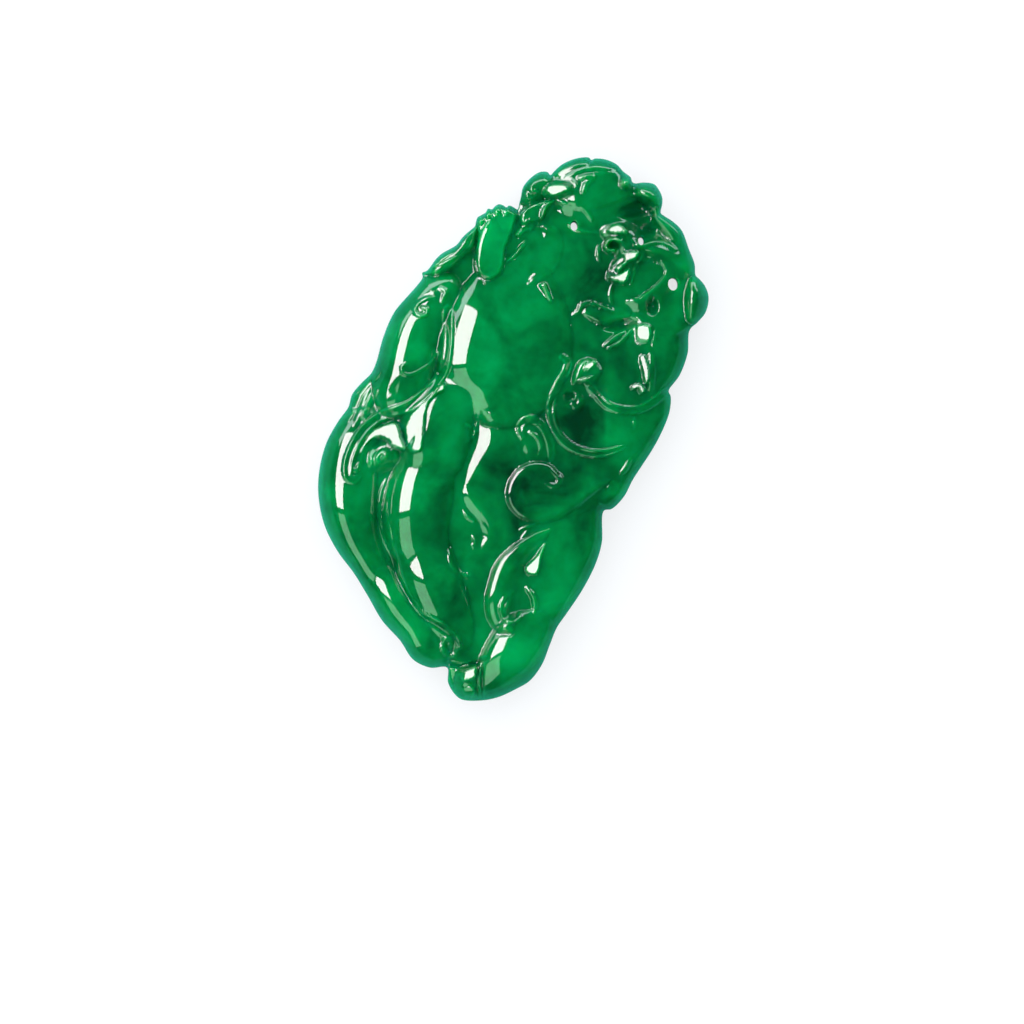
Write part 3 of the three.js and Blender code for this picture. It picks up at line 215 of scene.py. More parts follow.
# Carved lines: kind, half width, how far it stands proud or sinks, the width over which a ledge or a
# ramp fades on its left, and its points, a third number being the share of the form that holds there
STRANDS = {
    "tendril": ("cord", 0.2, 0.2, 0, [(44.3, 68.0), (44.1, 66.6), (43.9, 65.2), (43.3, 63.9),
        (42.5, 63.2), (41.6, 62.7), (40.9, 62.5), (40.3, 62.7), (40.2, 63.3), (40.7, 63.6)]),
    "tendril_curl": ("cord", 0.22, 0.3, 0, [(43.4, 70.2), (42.6, 70.1), (41.8, 69.6), (41.5, 68.9),
        (41.9, 68.4), (42.6, 68.5), (42.7, 69.1), (42.2, 69.2)]),
    "vine": ("band", 0.6, 0.4, 0, [(44.8, 69.2), (44.8, 67.0), (44.7, 65.0), (44.3, 63.0), (43.4, 61.5),
        (42.2, 60.3), (40.8, 59.3), (39.4, 58.8), (38.0, 58.3), (36.8, 57.4), (35.8, 56.1),
        (35.1, 54.6), (34.8, 53.2), (34.9, 52.3, 0.7), (35.5, 52.0, 0.6), (36.0, 52.4, 0.5)]),
    "cloud_curl": ("cord", 0.3, 0.3, 0, [(37.1, 53.4), (37.1, 54.4), (37.6, 55.2), (38.5, 55.6),
        (39.3, 55.2), (39.7, 54.4), (39.6, 53.6)]),
    "cloud_core": ("cord", 0.25, 0.3, 0, [(37.8, 53.6), (37.7, 54.3), (38.2, 54.8), (38.7, 54.5),
        (38.4, 54.2)]),
    "hook_in": ("cord", 0.22, 0.3, 0, [(35.2, 54.2), (35.2, 53.2), (35.7, 52.9), (35.9, 53.6)]),
    "stem": ("band", 0.5, 0.15, 0, [(38.8, 52.0, 0.6), (38.3, 50.2), (38.3, 48.4), (38.7, 46.6),
        (39.1, 44.8, 0.4)]),
    "crease": ("score", 0.4, 0.35, 0, [(39.0, 44.4, 0.3), (39.8, 42.0), (40.7, 40.3), (41.9, 38.7),
        (43.6, 37.5), (44.8, 36.6, 0.6)]),
    "lip": ("cord", 0.28, 0.28, 0, [(40.9, 40.0, 0.3), (42.0, 38.7), (43.2, 38.1), (44.2, 37.7),
        (45.2, 36.8), (45.9, 36.0), (46.1, 35.2, 0.5)]),
    "foot_curl": ("cord", 0.3, 0.4, 0, [(45.9, 35.0), (45.3, 34.4), (44.6, 34.6), (44.3, 35.3),
        (44.6, 36.1), (45.1, 35.9), (45.0, 35.1)]),
    "foot_in": ("cord", 0.22, 0.3, 0, [(44.7, 36.0), (44.7, 35.0), (45.0, 34.5), (45.8, 35.0)]),
    "long_fold": ("ledge", 1.4, 0.2, 2.2, [(40.4, 54.9, 0.2), (41.2, 54.7), (42.0, 54.7),
        (43.0, 54.9, 0.8), (44.0, 55.3, 0.2)]),
    "scroll": ("ramp", 1.2, 0.5, 3.4, [(48.3, 58.6, 0.5), (48.8, 57.8, 0.8), (49.1, 56.6), (48.9, 55.4),
        (48.2, 54.2, 0.8), (47.5, 53.0, 0.6), (46.9, 51.9, 0.3), (46.6, 51.3, 0.2)]),
    "scroll_low": ("ramp", 0.8, 0.3, 2.4, [(46.6, 51.6, 0.3), (46.8, 50.6, 0.7), (47.4, 49.6),
        (48.2, 48.7), (48.9, 47.6), (49.0, 46.6), (48.5, 45.4, 0.6)]),
    "scroll_low_face": ("ramp", 0.5, 0.25, 1.4, [(48.0, 48.0, 0.5), (48.7, 47.0), (48.8, 46.2),
        (48.2, 45.2, 0.5)]),
    "scroll_fold": ("cord", 0.22, 0.25, 0, [(46.6, 57.6), (47.1, 57.3), (47.5, 56.8), (47.2, 56.2),
        (46.7, 55.8)]),
    "scroll_top": ("cord", 0.2, 0.2, 0, [(47.5, 58.2), (47.7, 57.8), (47.6, 57.3)]),
    "berry_line": ("cord", 0.2, 0.25, 0, [(46.4, 48.8), (46.9, 48.2), (47.4, 47.9)]),
    "lower_line": ("cord", 0.22, 0.25, 0, [(47.3, 46.4), (47.5, 45.8), (47.3, 45.4)]),
    "scroll_hook": ("cord", 0.25, 0.25, 0, [(45.1, 45.2), (45.0, 44.4), (45.3, 43.4), (46.2, 42.6),
        (47.4, 42.4, 0.4)]),
    "long_vine": ("band", 0.45, 0.5, 0, [(56.2, 64.3), (56.8, 63.8), (56.6, 62.8), (55.9, 61.6),
        (55.3, 60.2), (55.1, 58.8), (55.4, 57.4), (56.2, 56.1), (57.4, 55.2), (59.0, 54.7),
        (60.6, 54.7), (62.4, 55.3, 0.4)]),
    "arc": ("band", 0.45, 0.3, 0, [(58.8, 61.6), (59.6, 60.7), (60.8, 59.5), (62.4, 59.0), (64.0, 59.1),
        (65.6, 60.0), (66.7, 61.1)]),
    "bowl_ball": ("cord", 0.4, 0.35, 0, [(57.4, 60.3), (57.9, 60.3), (58.0, 59.7), (57.6, 59.3),
        (57.3, 59.6)]),
    "bowl_bead": ("cord", 0.22, 0.25, 0, [(56.5, 59.4), (57.0, 59.2)]),
    "right_bead": ("cord", 0.3, 0.3, 0, [(63.0, 54.0), (62.6, 53.2), (62.1, 52.6)]),
    "right_speck": ("cord", 0.22, 0.25, 0, [(63.4, 58.2), (63.5, 57.2)]),
    "spiral_rim": ("ledge", 0.55, 0.5, 1.6, [(61.0, 52.0, 0.3), (58.8, 50.6, 0.7), (56.6, 49.0, 0.9),
        (54.4, 48.2, 0.9), (52.4, 48.6), (51.3, 49.8), (51.2, 51.2), (52.0, 52.6), (53.2, 53.3),
        (54.8, 53.2, 0.8), (55.8, 52.2, 0.6)][::-1]),
    "spiral_inner": ("ledge", 0.35, 0.3, 0.8, [(54.8, 49.2, 0.5), (53.0, 49.2, 0.8), (52.2, 50.2),
        (52.0, 51.2), (52.6, 52.2), (53.4, 52.8, 0.7)][::-1]),
    "spiral_core": ("cord", 0.35, 0.25, 0, [(55.2, 52.9, 0.5), (56.0, 52.2), (55.6, 51.4),
        (54.6, 51.6, 0.5)]),
    "arch": ("band", 0.45, 0.35, 0, [(52.2, 56.2, 0.4), (52.1, 57.4), (53.0, 58.1), (54.1, 57.6),
        (54.9, 56.2), (55.2, 54.8), (55.1, 53.8, 0.5)]),
    "arch_inner": ("cord", 0.22, 0.25, 0, [(53.0, 56.8), (53.7, 56.3), (54.1, 55.3),
        (53.9, 54.6, 0.5)]),
    "low_scroll": ("ledge", 1.3, 0.95, 1.8, [(54.9, 47.0, 0.3), (53.5, 46.0, 0.55), (52.0, 44.7, 0.8),
        (50.8, 43.2), (50.1, 41.5), (49.8, 39.8), (50.1, 38.3), (51.0, 37.0, 0.7)]),
    "scroll_tie": ("cord", 0.2, 0.25, 0, [(52.0, 47.0), (52.7, 47.3), (53.4, 47.5)]),
    "scroll_tie_low": ("cord", 0.2, 0.2, 0, [(52.2, 46.2), (52.6, 46.7), (52.8, 47.0)]),
    "curl_line": ("cord", 0.25, 0.3, 0, [(51.3, 40.8), (50.5, 40.2), (50.1, 39.2), (50.4, 38.2),
        (51.2, 37.8), (51.9, 38.2), (52.0, 38.8)]),
    "curl_side": ("cord", 0.3, 0.3, 0, [(52.7, 41.2), (53.3, 40.4), (53.5, 39.4), (53.4, 38.6, 0.3)]),
    "curl_in": ("cord", 0.3, 0.4, 0, [(51.1, 40.2), (50.7, 39.4), (50.5, 38.7), (50.8, 38.4)]),
    "scroll_foot": ("score", 0.25, 0.35, 0, [(49.8, 36.5), (50.6, 36.6), (51.4, 36.6, 0.3)]),
    "tip_groove": ("score", 0.2, 0.4, 0, [(47.8, 33.9), (47.7, 32.0), (47.7, 30.4)]),
    "tip_groove_right": ("score", 0.2, 0.35, 0, [(48.3, 33.8), (48.2, 32.0), (48.2, 30.4)]),
    "tip_edge": ("score", 0.3, 0.5, 0, [(44.6, 33.6), (45.6, 33.4), (46.6, 33.4), (47.8, 33.8),
        (48.8, 34.2, 0.3)]),
    "leg_strip_right": ("cord", 0.4, 0.35, 0, [(65.1, 64.5), (65.2, 62.8), (65.1, 61.0)]),
    "leg_line": ("cord", 0.18, 0.2, 0, [(65.5, 66.8), (65.3, 65.4)]),
    "blade": ("cord", 0.25, 0.4, 0, [(60.4, 65.4), (61.3, 66.1), (62.4, 66.9)]),
    "blade_low": ("cord", 0.25, 0.4, 0, [(60.8, 65.2), (61.8, 65.6), (62.6, 66.4), (63.0, 66.9)]),
    "leaf_vein": ("cord", 0.2, 0.2, 0, [(43.0, 73.2), (44.6, 73.8), (46.2, 74.4)]),
    "dome_lip": ("ledge", 0.55, 0.2, 2.4, [(56.8, 79.7, 0.6), (57.6, 79.5, 0.9), (59.0, 79.5),
        (60.6, 79.9), (62.2, 80.5), (63.4, 81.2, 0.7)]),
    "dome_boss_ring": ("cord", 0.2, 0.25, 0, [(57.2, 82.0), (57.6, 81.4), (57.4, 80.9)]),
    "dome_rib_low": ("ramp", 0.2, 0.14, 0.6, [(57.6, 82.1, 0.6), (58.8, 82.5), (60.2, 82.75),
        (61.5, 82.7, 0.7)][::-1]),
    "dome_rib_middle": ("ramp", 0.2, 0.14, 0.6, [(56.5, 82.2, 0.6), (57.8, 82.9), (59.6, 83.3),
        (61.2, 83.1, 0.7)][::-1]),
    "dome_rib_top": ("ramp", 0.2, 0.12, 0.5, [(55.3, 82.4, 0.6), (56.6, 83.2), (58.0, 83.6),
        (59.2, 83.6, 0.6)][::-1]),
    "paw": ("ledge", 0.45, 0.6, 1.8, [(57.9, 68.6, 0.2), (58.8, 68.5, 0.6), (59.8, 68.1), (61.2, 68.0),
        (62.8, 68.4, 0.6)]),
    "paw_line": ("cord", 0.25, 0.35, 0, [(57.3, 68.4), (57.9, 68.9), (58.1, 69.4), (58.9, 69.7),
        (60.0, 69.4), (61.2, 68.9)]),
    "eye": ("cord", 0.3, 0.4, 0, [(62.3, 75.5), (61.6, 76.1), (60.8, 75.9), (60.5, 75.3), (60.8, 74.9),
        (61.6, 74.8)]),
    "cheek": ("cord", 0.22, 0.3, 0, [(59.9, 75.4), (59.8, 74.6), (60.0, 73.8)]),
    "brow": ("cord", 0.2, 0.25, 0, [(60.1, 76.9), (60.4, 76.4)]),
    "arm_edge": ("cord", 0.25, 0.3, 0, [(63.2, 75.9), (64.1, 75.4), (65.4, 75.8), (66.6, 75.7),
        (67.6, 75.0)]),
    "haunch_edge": ("ledge", 0.35, 0.5, 1.6, [(63.8, 73.7, 0.5), (65.4, 74.2), (66.4, 73.7),
        (66.8, 72.8), (66.2, 71.7), (65.2, 70.8), (64.0, 70.0), (62.8, 69.9, 0.5)]),
    "chest_line": ("cord", 0.2, 0.25, 0, [(64.4, 74.5), (63.6, 73.2), (63.1, 71.7)]),
    "neck_line": ("cord", 0.2, 0.2, 0, [(61.3, 71.7), (61.0, 70.5), (61.2, 69.4)]),
    "ruyi_arc": ("ledge", 0.5, 0.22, 1.8, [(52.8, 71.5, 0.3), (54.0, 72.2, 0.7), (55.1, 73.2),
        (55.7, 74.6), (55.8, 75.8), (55.3, 76.8), (54.4, 77.4, 0.6)]),
    "ruyi_line": ("cord", 0.22, 0.25, 0, [(52.5, 75.7), (52.0, 75.1), (51.3, 74.3), (50.6, 73.9)]),
    "petal_ridge": ("ledge", 0.55, 0.4, 1.8, [(49.1, 78.0, 0.6), (48.7, 76.8), (48.4, 76.0),
        (48.2, 75.0), (47.9, 73.1), (47.9, 72.4, 0.4)]),
    "facet_top": ("cord", 0.28, 0.3, 0, [(51.9, 78.4), (53.0, 79.4), (54.2, 79.8), (55.5, 79.9),
        (56.6, 79.6)]),
    "facet_side": ("cord", 0.5, 0.45, 0, [(55.3, 79.7, 0.6), (54.7, 78.9), (54.3, 77.9)]),
    "facet_low": ("cord", 0.32, 0.35, 0, [(54.4, 77.8), (53.2, 77.7), (52.1, 77.4)]),
    "facet_stroke": ("cord", 0.22, 0.25, 0, [(58.3, 79.1), (58.8, 78.6), (59.2, 78.0)]),
    "brow_arc": ("cord", 0.22, 0.18, 0, [(56.9, 77.4), (58.2, 76.9), (59.8, 76.7)]),
    "curl_in_top": ("cord", 0.25, 0.3, 0, [(53.1, 81.4), (53.2, 80.9), (53.8, 80.8)]),
    "curl_out": ("cord", 0.25, 0.3, 0, [(52.6, 80.6), (52.8, 80.2), (53.2, 80.1)]),
    "shell_lip": ("ledge", 0.4, 0.6, 1.6, [(63.2, 80.4, 0.5), (64.2, 80.6), (65.2, 80.3),
        (65.9, 79.4, 0.6)]),
    "leaf_curl": ("cord", 0.2, 0.2, 0, [(43.0, 72.4), (44.8, 72.9), (45.5, 73.8), (46.6, 74.3)]),
    "bead_row": ("cord", 0.3, 0.3, 0, [(44.1, 71.2, 0.6), (44.6, 70.8), (44.4, 70.2),
        (44.2, 69.4, 0.5)]),
    "dome_mark": ("cord", 0.35, 0.3, 0, [(57.9, 82.2), (59.2, 82.2), (58.6, 81.5), (58.3, 80.7)]),
    "bundle_outer": ("ledge", 0.5, 0.5, 1.0, [(38.0, 62.8, 0.5), (36.9, 61.8), (36.0, 60.6),
        (35.3, 59.2), (34.9, 58.0, 0.5)][::-1]),
    "bundle_middle": ("ledge", 0.45, 0.45, 0.8, [(37.4, 62.2, 0.5), (36.6, 60.4), (36.0, 58.8),
        (35.5, 57.6, 0.5)]),
    "bundle_inner": ("cord", 0.35, 0.35, 0, [(37.6, 61.0), (36.9, 59.6), (36.5, 58.4), (36.6, 57.8)]),
    "bundle_curl": ("cord", 0.25, 0.3, 0, [(35.8, 61.0), (35.1, 60.2), (34.9, 59.4), (35.3, 59.0)]),
    "leaf_edge": ("ledge", 0.4, 0.4, 1.4, [(47.6, 77.9, 0.6), (46.4, 76.2), (45.2, 74.9), (43.9, 74.0),
        (42.8, 72.9, 0.6)][::-1]),
    "leaf_fold": ("ledge", 0.4, 0.35, 1.0, [(46.9, 76.4, 0.6), (45.8, 74.9), (44.6, 73.6),
        (43.0, 72.6, 0.6)]),
}

# Small bumps and hollows: place, half widths, turn in degrees and rise
DIMPLES = [
    (61.5, 75.4, 0.5, 0.4, 0, -0.3),
    (58.6, 58.8, 3.4, 4.0, 0, -0.5),
    (56.9, 60.4, 0.7, 0.6, 0, -0.9),
    (63.5, 79.0, 2.4, 1.0, 12, -1.3),
    (64.8, 77.0, 1.0, 0.9, 0, -1.0),
    (65.2, 69.4, 0.8, 1.2, 0, -1.0),
    (62.0, 67.5, 2.2, 0.8, 8, -0.9),
    (48.0, 77.9, 0.5, 0.6, 0, 0.35),
    (48.8, 78.5, 0.5, 0.7, 0, 0.35),
    (49.7, 78.9, 0.5, 0.7, 0, 0.35),
    (50.6, 78.9, 0.5, 0.7, 0, 0.35),
    (53.2, 58.1, 0.8, 0.5, 0, 0.5),
    (62.7, 82.0, 0.9, 0.9, 0, 0.5),
]

# Openwork: place and half widths of each hole through the stone
PIERCINGS = [
    ((67.3, 71.6), (0.5, 0.65)),
    ((57.4, 77.4), (0.35, 0.5)),
    ((64.1, 75.9), (0.3, 0.45)),
]

# Darker clouds inside the stone, several of them painted shade laid into the valleys and the hollow of
# the bowl,
# # and, where the strength is negative, paler ones, most of them painted glow where light would shine
# through the
# # thinner lobes and the petal: place, reach, strength and, where a cloud ends sharply on its right,
# the place of that end
CLOUDS_SHADE_AND_GLOW = [
    (58.5, 58.0, 3.2, 0.9, 60.7), (56.0, 66.0, 3.4, 0.35), (53.0, 64.0, 2.0, 0.3),
    (44.0, 46.0, 2.4, 0.3), (45.0, 40.0, 2.2, 0.55), (58.2, 51.0, 3.4, 0.5), (58.6, 73.5, 4.4, 0.5),
    (63.6, 77.8, 2.0, 0.5), (50.0, 51.6, 3.4, 0.8), (54.0, 53.0, 3.0, 0.3), (64.0, 70.5, 2.6, 0.3),
    (49.0, 44.0, 2.6, 0.35), (50.2, 47.6, 2.4, 0.4), (57.8, 47.4, 2.2, 0.5), (57.0, 73.8, 3.2, 0.5),
    (67.0, 65.0, 2.4, 0.3), (69.7, 69.8, 1.6, 0.6), (42.0, 67.5, 3.2, -0.45), (50.0, 67.0, 3.5, -0.15),
    (62.8, 55.0, 2.6, -0.5), (64.0, 52.5, 1.6, -0.3), (56.0, 43.5, 2.6, -0.4), (56.2, 40.2, 2.6, -0.55),
    (52.8, 35.0, 3.0, -0.6), (49.8, 76.0, 2.6, -0.7), (48.5, 61.0, 1.8, -0.3), (62.6, 50.4, 1.3, -0.8),
    (60.4, 81.2, 2.2, 0.3), (41.6, 38.0, 2.2, -0.5), (36.0, 44.5, 2.4, -0.2), (64.0, 79.0, 1.6, 0.4),
]


# Lines and outlines
def curve(points, closed=False, step=0.12):
    """Even samples of a smooth line: a centripetal Catmull-Rom curve through the points.

    Columns after x and y, such as a half width, are carried along by the same curve."""
    p = np.asarray(points, float)
    if closed:
        ext = np.vstack([p[-1], p, p[0], p[1]])
    else:
        ext = np.vstack([2 * p[0] - p[1], p, 2 * p[-1] - p[-2]])
    out = []
    for i in range(len(ext) - 3):
        p0, p1, p2, p3 = ext[i:i + 4]
        t0 = 0.0
        t1 = t0 + math.hypot(*(p1 - p0)[:2]) ** 0.5
        t2 = t1 + math.hypot(*(p2 - p1)[:2]) ** 0.5
        t3 = t2 + math.hypot(*(p3 - p2)[:2]) ** 0.5
        count = max(2, math.ceil(math.hypot(*(p2 - p1)[:2]) / step))
        t = np.linspace(t1, t2, count, endpoint=False)[:, None]
        a1 = (t1 - t) / (t1 - t0) * p0 + (t - t0) / (t1 - t0) * p1
        a2 = (t2 - t) / (t2 - t1) * p1 + (t - t1) / (t2 - t1) * p2
        a3 = (t3 - t) / (t3 - t2) * p2 + (t - t2) / (t3 - t2) * p3
        b1 = (t2 - t) / (t2 - t0) * a1 + (t - t0) / (t2 - t0) * a2
        b2 = (t3 - t) / (t3 - t1) * a2 + (t - t1) / (t3 - t1) * a3
        out.append((t2 - t) / (t2 - t1) * b1 + (t - t1) / (t2 - t1) * b2)
    if not closed:
        out.append(p[-1:])
    return np.vstack(out)


def nearest(line, x, y, blur=0.35):
    """Distance from each place to a line of short straight pieces, its third column, and the side.

    The side is 1 on the line's left and -1 on its right. The column is the mean over the line,
    each sample weighted by exp(-(distance^2 - least^2) / blur^2)."""
    step = np.diff(line[:, :2], axis=0)
    length = np.hypot(step[:, 0], step[:, 1])
    least = np.full(x.shape, np.inf)
    side = np.zeros(x.shape)
    for i in range(len(step)):
        rx = x - line[i, 0]
        ry = y - line[i, 1]
        part = np.clip((rx * step[i, 0] + ry * step[i, 1]) / (length[i] ** 2 + HAIR), 0, 1)
        dist = (rx - part * step[i, 0]) ** 2 + (ry - part * step[i, 1]) ** 2
        near = dist < least
        least = np.where(near, dist, least)
        side = np.where(near, np.sign(step[i, 0] * ry - step[i, 1] * rx), side)
    total = np.zeros(x.shape)
    column = np.zeros(x.shape)
    if line.shape[1] > 2:
        for px, py, value in line[:, :3]:
            weight = np.exp((least - (x - px) ** 2 - (y - py) ** 2) / blur ** 2)
            total += weight
            column += weight * value
    return np.sqrt(least), column / (total + SPECK), side


def rim_line():
    """The outline, and its distance from the heart by direction, as drawn and smoothed.

    It is smoothed by its waves round the heart, each n-th one times exp(-(n / NOTCH_WAVES)^2)."""
    line = curve(OUTLINE, closed=True, step=RIM_STEP)
    angle = np.arctan2(line[:, 1] - HEART[1], line[:, 0] - HEART[0])
    reach = np.hypot(line[:, 1] - HEART[1], line[:, 0] - HEART[0])
    order = np.argsort(angle)
    even = np.linspace(-math.pi, math.pi, DIRECTIONS, endpoint=False)
    wave = np.fft.rfft(np.interp(even, angle[order], reach[order], period=2 * math.pi))
    soft = np.fft.irfft(wave * np.exp(-(np.arange(len(wave)) / NOTCH_WAVES) ** 2), len(even))
    return line, angle[order], reach[order], even, soft


RIM, RIM_ANGLE, RIM_REACH, EVEN_ANGLE, SOFT_REACH = rim_line()


def edge_of(x, y):
    """How far out a place is: 0 at the heart, 1 on the outline, and the same if smoothed."""
    angle = np.arctan2(y - HEART[1], x - HEART[0])
    reach = np.hypot(x - HEART[0], y - HEART[1])
    return (reach / np.interp(angle, RIM_ANGLE, RIM_REACH, period=2 * math.pi),
            reach / np.interp(angle, EVEN_ANGLE, SOFT_REACH, period=2 * math.pi))


def reach_box(line, x, y, margin):
    """The places that lie within a margin of a line's box."""
    low = line[:, :2].min(0) - margin
    high = line[:, :2].max(0) + margin
    return (x > low[0]) & (x < high[0]) & (y > low[1]) & (y < high[1])


# The heights of the carving
def melted_max(a, b):
    """The greater of two heights, run together where they are close."""
    near = np.maximum(0, 1 - np.abs(a - b) / (3 * MELT)) * np.clip(np.minimum(a, b) / MELT, 0, 1)
    return np.maximum(a, b) + near ** 3 * MELT * 0.5


def lobe_rise(points, x, y, power, firm=12.0):
    """Rise of a lobe: 1 - (distance / half width)^2 from the samples of its crest, to a power.

    The samples are run together as the logarithm of the sum of exp(firm * each)."""
    line = curve(points, step=0.35)
    total = np.zeros(x.shape)
    rise = np.zeros(x.shape)
    spacing = np.hypot(*np.diff(line[:, :2], axis=0).T).mean()
    for cx, cy, half, high in line:
        swell = np.exp(firm * (1 - ((x - cx) ** 2 + (y - cy) ** 2) / half ** 2))
        weight = swell * spacing / half * math.sqrt(firm / math.pi)
        total += weight
        rise += weight * high
    level = np.log(total + SPECK) / firm
    return rise / (total + SPECK) * np.maximum(0, level) ** power


def lobes_rise(x, y):
    """The lobes and domes, each laid over the ones before it."""
    height = np.zeros(x.shape)
    for name, points in LOBES.items():
        line = np.asarray(points, float)
        near = reach_box(line, x, y, line[:, 2].max() + 1.0)
        if near.any():
            power = SOFT_POWER if name in SOFT_LOBES else LOBE_POWER
            height[near] = melted_max(height[near], lobe_rise(points, x[near], y[near], power))
    return height


def plates_rise(x, y):
    """The overlapping forms: inside each outline a tilted top with a quarter round at its edge.

    A place is inside where a ray to its right crosses the outline an odd number of times."""
    height = np.zeros(x.shape)
    for high, rounding, slope, points in PLATES.values():
        line = curve(points, closed=True, step=0.15)
        line = np.vstack([line, line[:1]])
        near = reach_box(line, x, y, 0.1)
        if not near.any():
            continue
        px, py = x[near], y[near]
        depth = nearest(line, px, py)[0]
        crossing = (line[:-1, 1] > py[:, None]) != (line[1:, 1] > py[:, None])
        run, climb = np.diff(line[:, 0]), np.diff(line[:, 1]) + HAIR
        at = line[:-1, 0] + (py[:, None] - line[:-1, 1]) * run / climb
        inside = ((px[:, None] < at) & crossing).sum(1) % 2 == 1
        middle = line.mean(0)
        top = high + slope[0] * (px - middle[0]) + slope[1] * (py - middle[1])
        edge = np.sqrt(np.maximum(0, 1 - (1 - np.minimum(1, depth / rounding)) ** 2))
        height[near] = np.maximum(height[near], np.where(inside, top * edge, 0))
    return height


def strands_rise(x, y):
    """The carved lines, by u, the distance over the half width.

    A cord is (1 - u^2)^0.6, a band has two raised edges and a score is a groove. A ledge falls
    off in a quarter round on the right of its line, a ramp falls off straight there, and both
    fade as (1 - u^2)^2 on the left. Cords and bands lie on the ledges and ramps, and scores are
    cut through all of them."""
    folds = np.zeros(x.shape)
    cords = np.zeros(x.shape)
    scores = np.zeros(x.shape)
    for kind, half, proud, fade, points in STRANDS.values():
        line = curve([(*p, 1.0) if len(p) == 2 else p for p in points], step=0.2)
        near = reach_box(line, x, y, max(half, fade) + 0.1)
        if not near.any():
            continue
        run = np.concatenate([[0], np.cumsum(np.hypot(*np.diff(line[:, :2], axis=0).T))]) / TAPER
        line[:, 2] *= np.clip(TAPER_START + np.minimum(run, run[-1] - run), 0, 1)
        dist, share, side = nearest(line, x[near], y[near])
        share = np.maximum(LEAST_SHARE, share)
        form = proud * share
        if kind in ("ledge", "ramp"):
            u = np.minimum(1, dist / (np.where(side > 0, fade, half) * share))
            fall_off = np.sqrt(1 - u ** 2) if kind == "ledge" else 1 - u
            form = form * np.where(side > 0, (1 - u ** 2) ** 2, fall_off)
        else:
            u = np.minimum(1, dist / (half * np.sqrt(share)))
            if kind == "cord":
                form = form * (1 - u ** 2) ** 0.6
            elif kind == "band":
                edges = 0.5 + 0.5 * np.minimum(1, u / BAND_EDGE) ** 2.5
                form = form * (1 - u ** 4) ** 0.7 * edges
            else:
                form = form * (1 - u ** 2) ** 1.5
        layer = {"ledge": folds, "ramp": folds, "score": scores}.get(kind, cords)
        layer[near] = np.maximum(layer[near], form)
    return folds + cords - scores


def dimples_rise(x, y):
    """The small bumps and hollows: (1 - distance^2)^2 over an ellipse."""
    rise = np.zeros(x.shape)
    for cx, cy, half_x, half_y, turn, high in DIMPLES:
        c, s = math.cos(math.radians(turn)), math.sin(math.radians(turn))
        u = ((x - cx) * c + (y - cy) * s) / half_x
        v = ((y - cy) * c - (x - cx) * s) / half_y
        rise += high * np.maximum(0, 1 - u ** 2 - v ** 2) ** 2
    return rise


def front_height(x, y):
    """Height of the front: the girdle, and over it a flattened dome with all the carving.

    It closes at the rim as the root of 1 - edge^firm, edge being the share of the way out."""
    edge, soft_edge = edge_of(x, y)
    body = WALL + DOME * (1 - soft_edge ** 2)
    firm = RIM_FIRM + TOP_FIRMER * np.clip((y - TOP_FROM) / TOP_OVER, 0, 1)
    closing = np.sqrt(np.maximum(0, 1 - np.minimum(edge, 1) ** firm))
    forms = melted_max(lobes_rise(x, y), plates_rise(x, y))
    return GIRDLE + (body + forms + strands_rise(x, y) + dimples_rise(x, y)) * closing


def back_height(edge):
    """Height of the back: from the girdle down by the fourth root of 1 - edge^2, to the flat."""
    return np.maximum(0, GIRDLE - BACK * np.sqrt(np.maximum(0, 1 - edge ** 2)) ** 0.5)


# The mesh of the stone
def zipped(inner_start, inner_count, outer_start, outer_count):
    """Triangles between two rings whose counts may differ, wound to face up.

    Each side of the outer ring is joined to the inner point nearest its middle, and where that
    inner point changes, the inner side is joined to the outer point between them."""
    i = np.arange(outer_count)
    j = np.floor((i + 0.5) * inner_count / outer_count).astype(int)
    a = np.stack([outer_start + i, outer_start + (i + 1) % outer_count,
                  inner_start + j % inner_count], 1)
    k = np.arange(1, inner_count + 1)
    at = np.searchsorted(j, k)
    b = np.stack([inner_start + k % inner_count, inner_start + k - 1,
                  outer_start + at % outer_count], 1)
    return np.vstack([a, b])


def even_rim(count):
    """The outline in steps of one length."""
    closed = np.vstack([RIM, RIM[:1]])
    run = np.concatenate([[0], np.cumsum(np.hypot(*np.diff(closed, axis=0).T))])
    at = np.arange(count) / count * run[-1]
    return np.stack([np.interp(at, run, closed[:, 0]), np.interp(at, run, closed[:, 1])], 1)


RIM_EVEN = even_rim(RIM_POINTS)


def ring_places(count, edge):
    """Places of a ring: the even samples of the outline drawn in towards the heart."""
    turn = np.arange(count) / count * len(RIM_EVEN)
    left = np.floor(turn).astype(int)
    part = (turn - left)[:, None]
    right = (left + 1) % len(RIM_EVEN)
    p = RIM_EVEN[left % len(RIM_EVEN)] * (1 - part) + RIM_EVEN[right] * part
    return HEART + (p - HEART) * edge


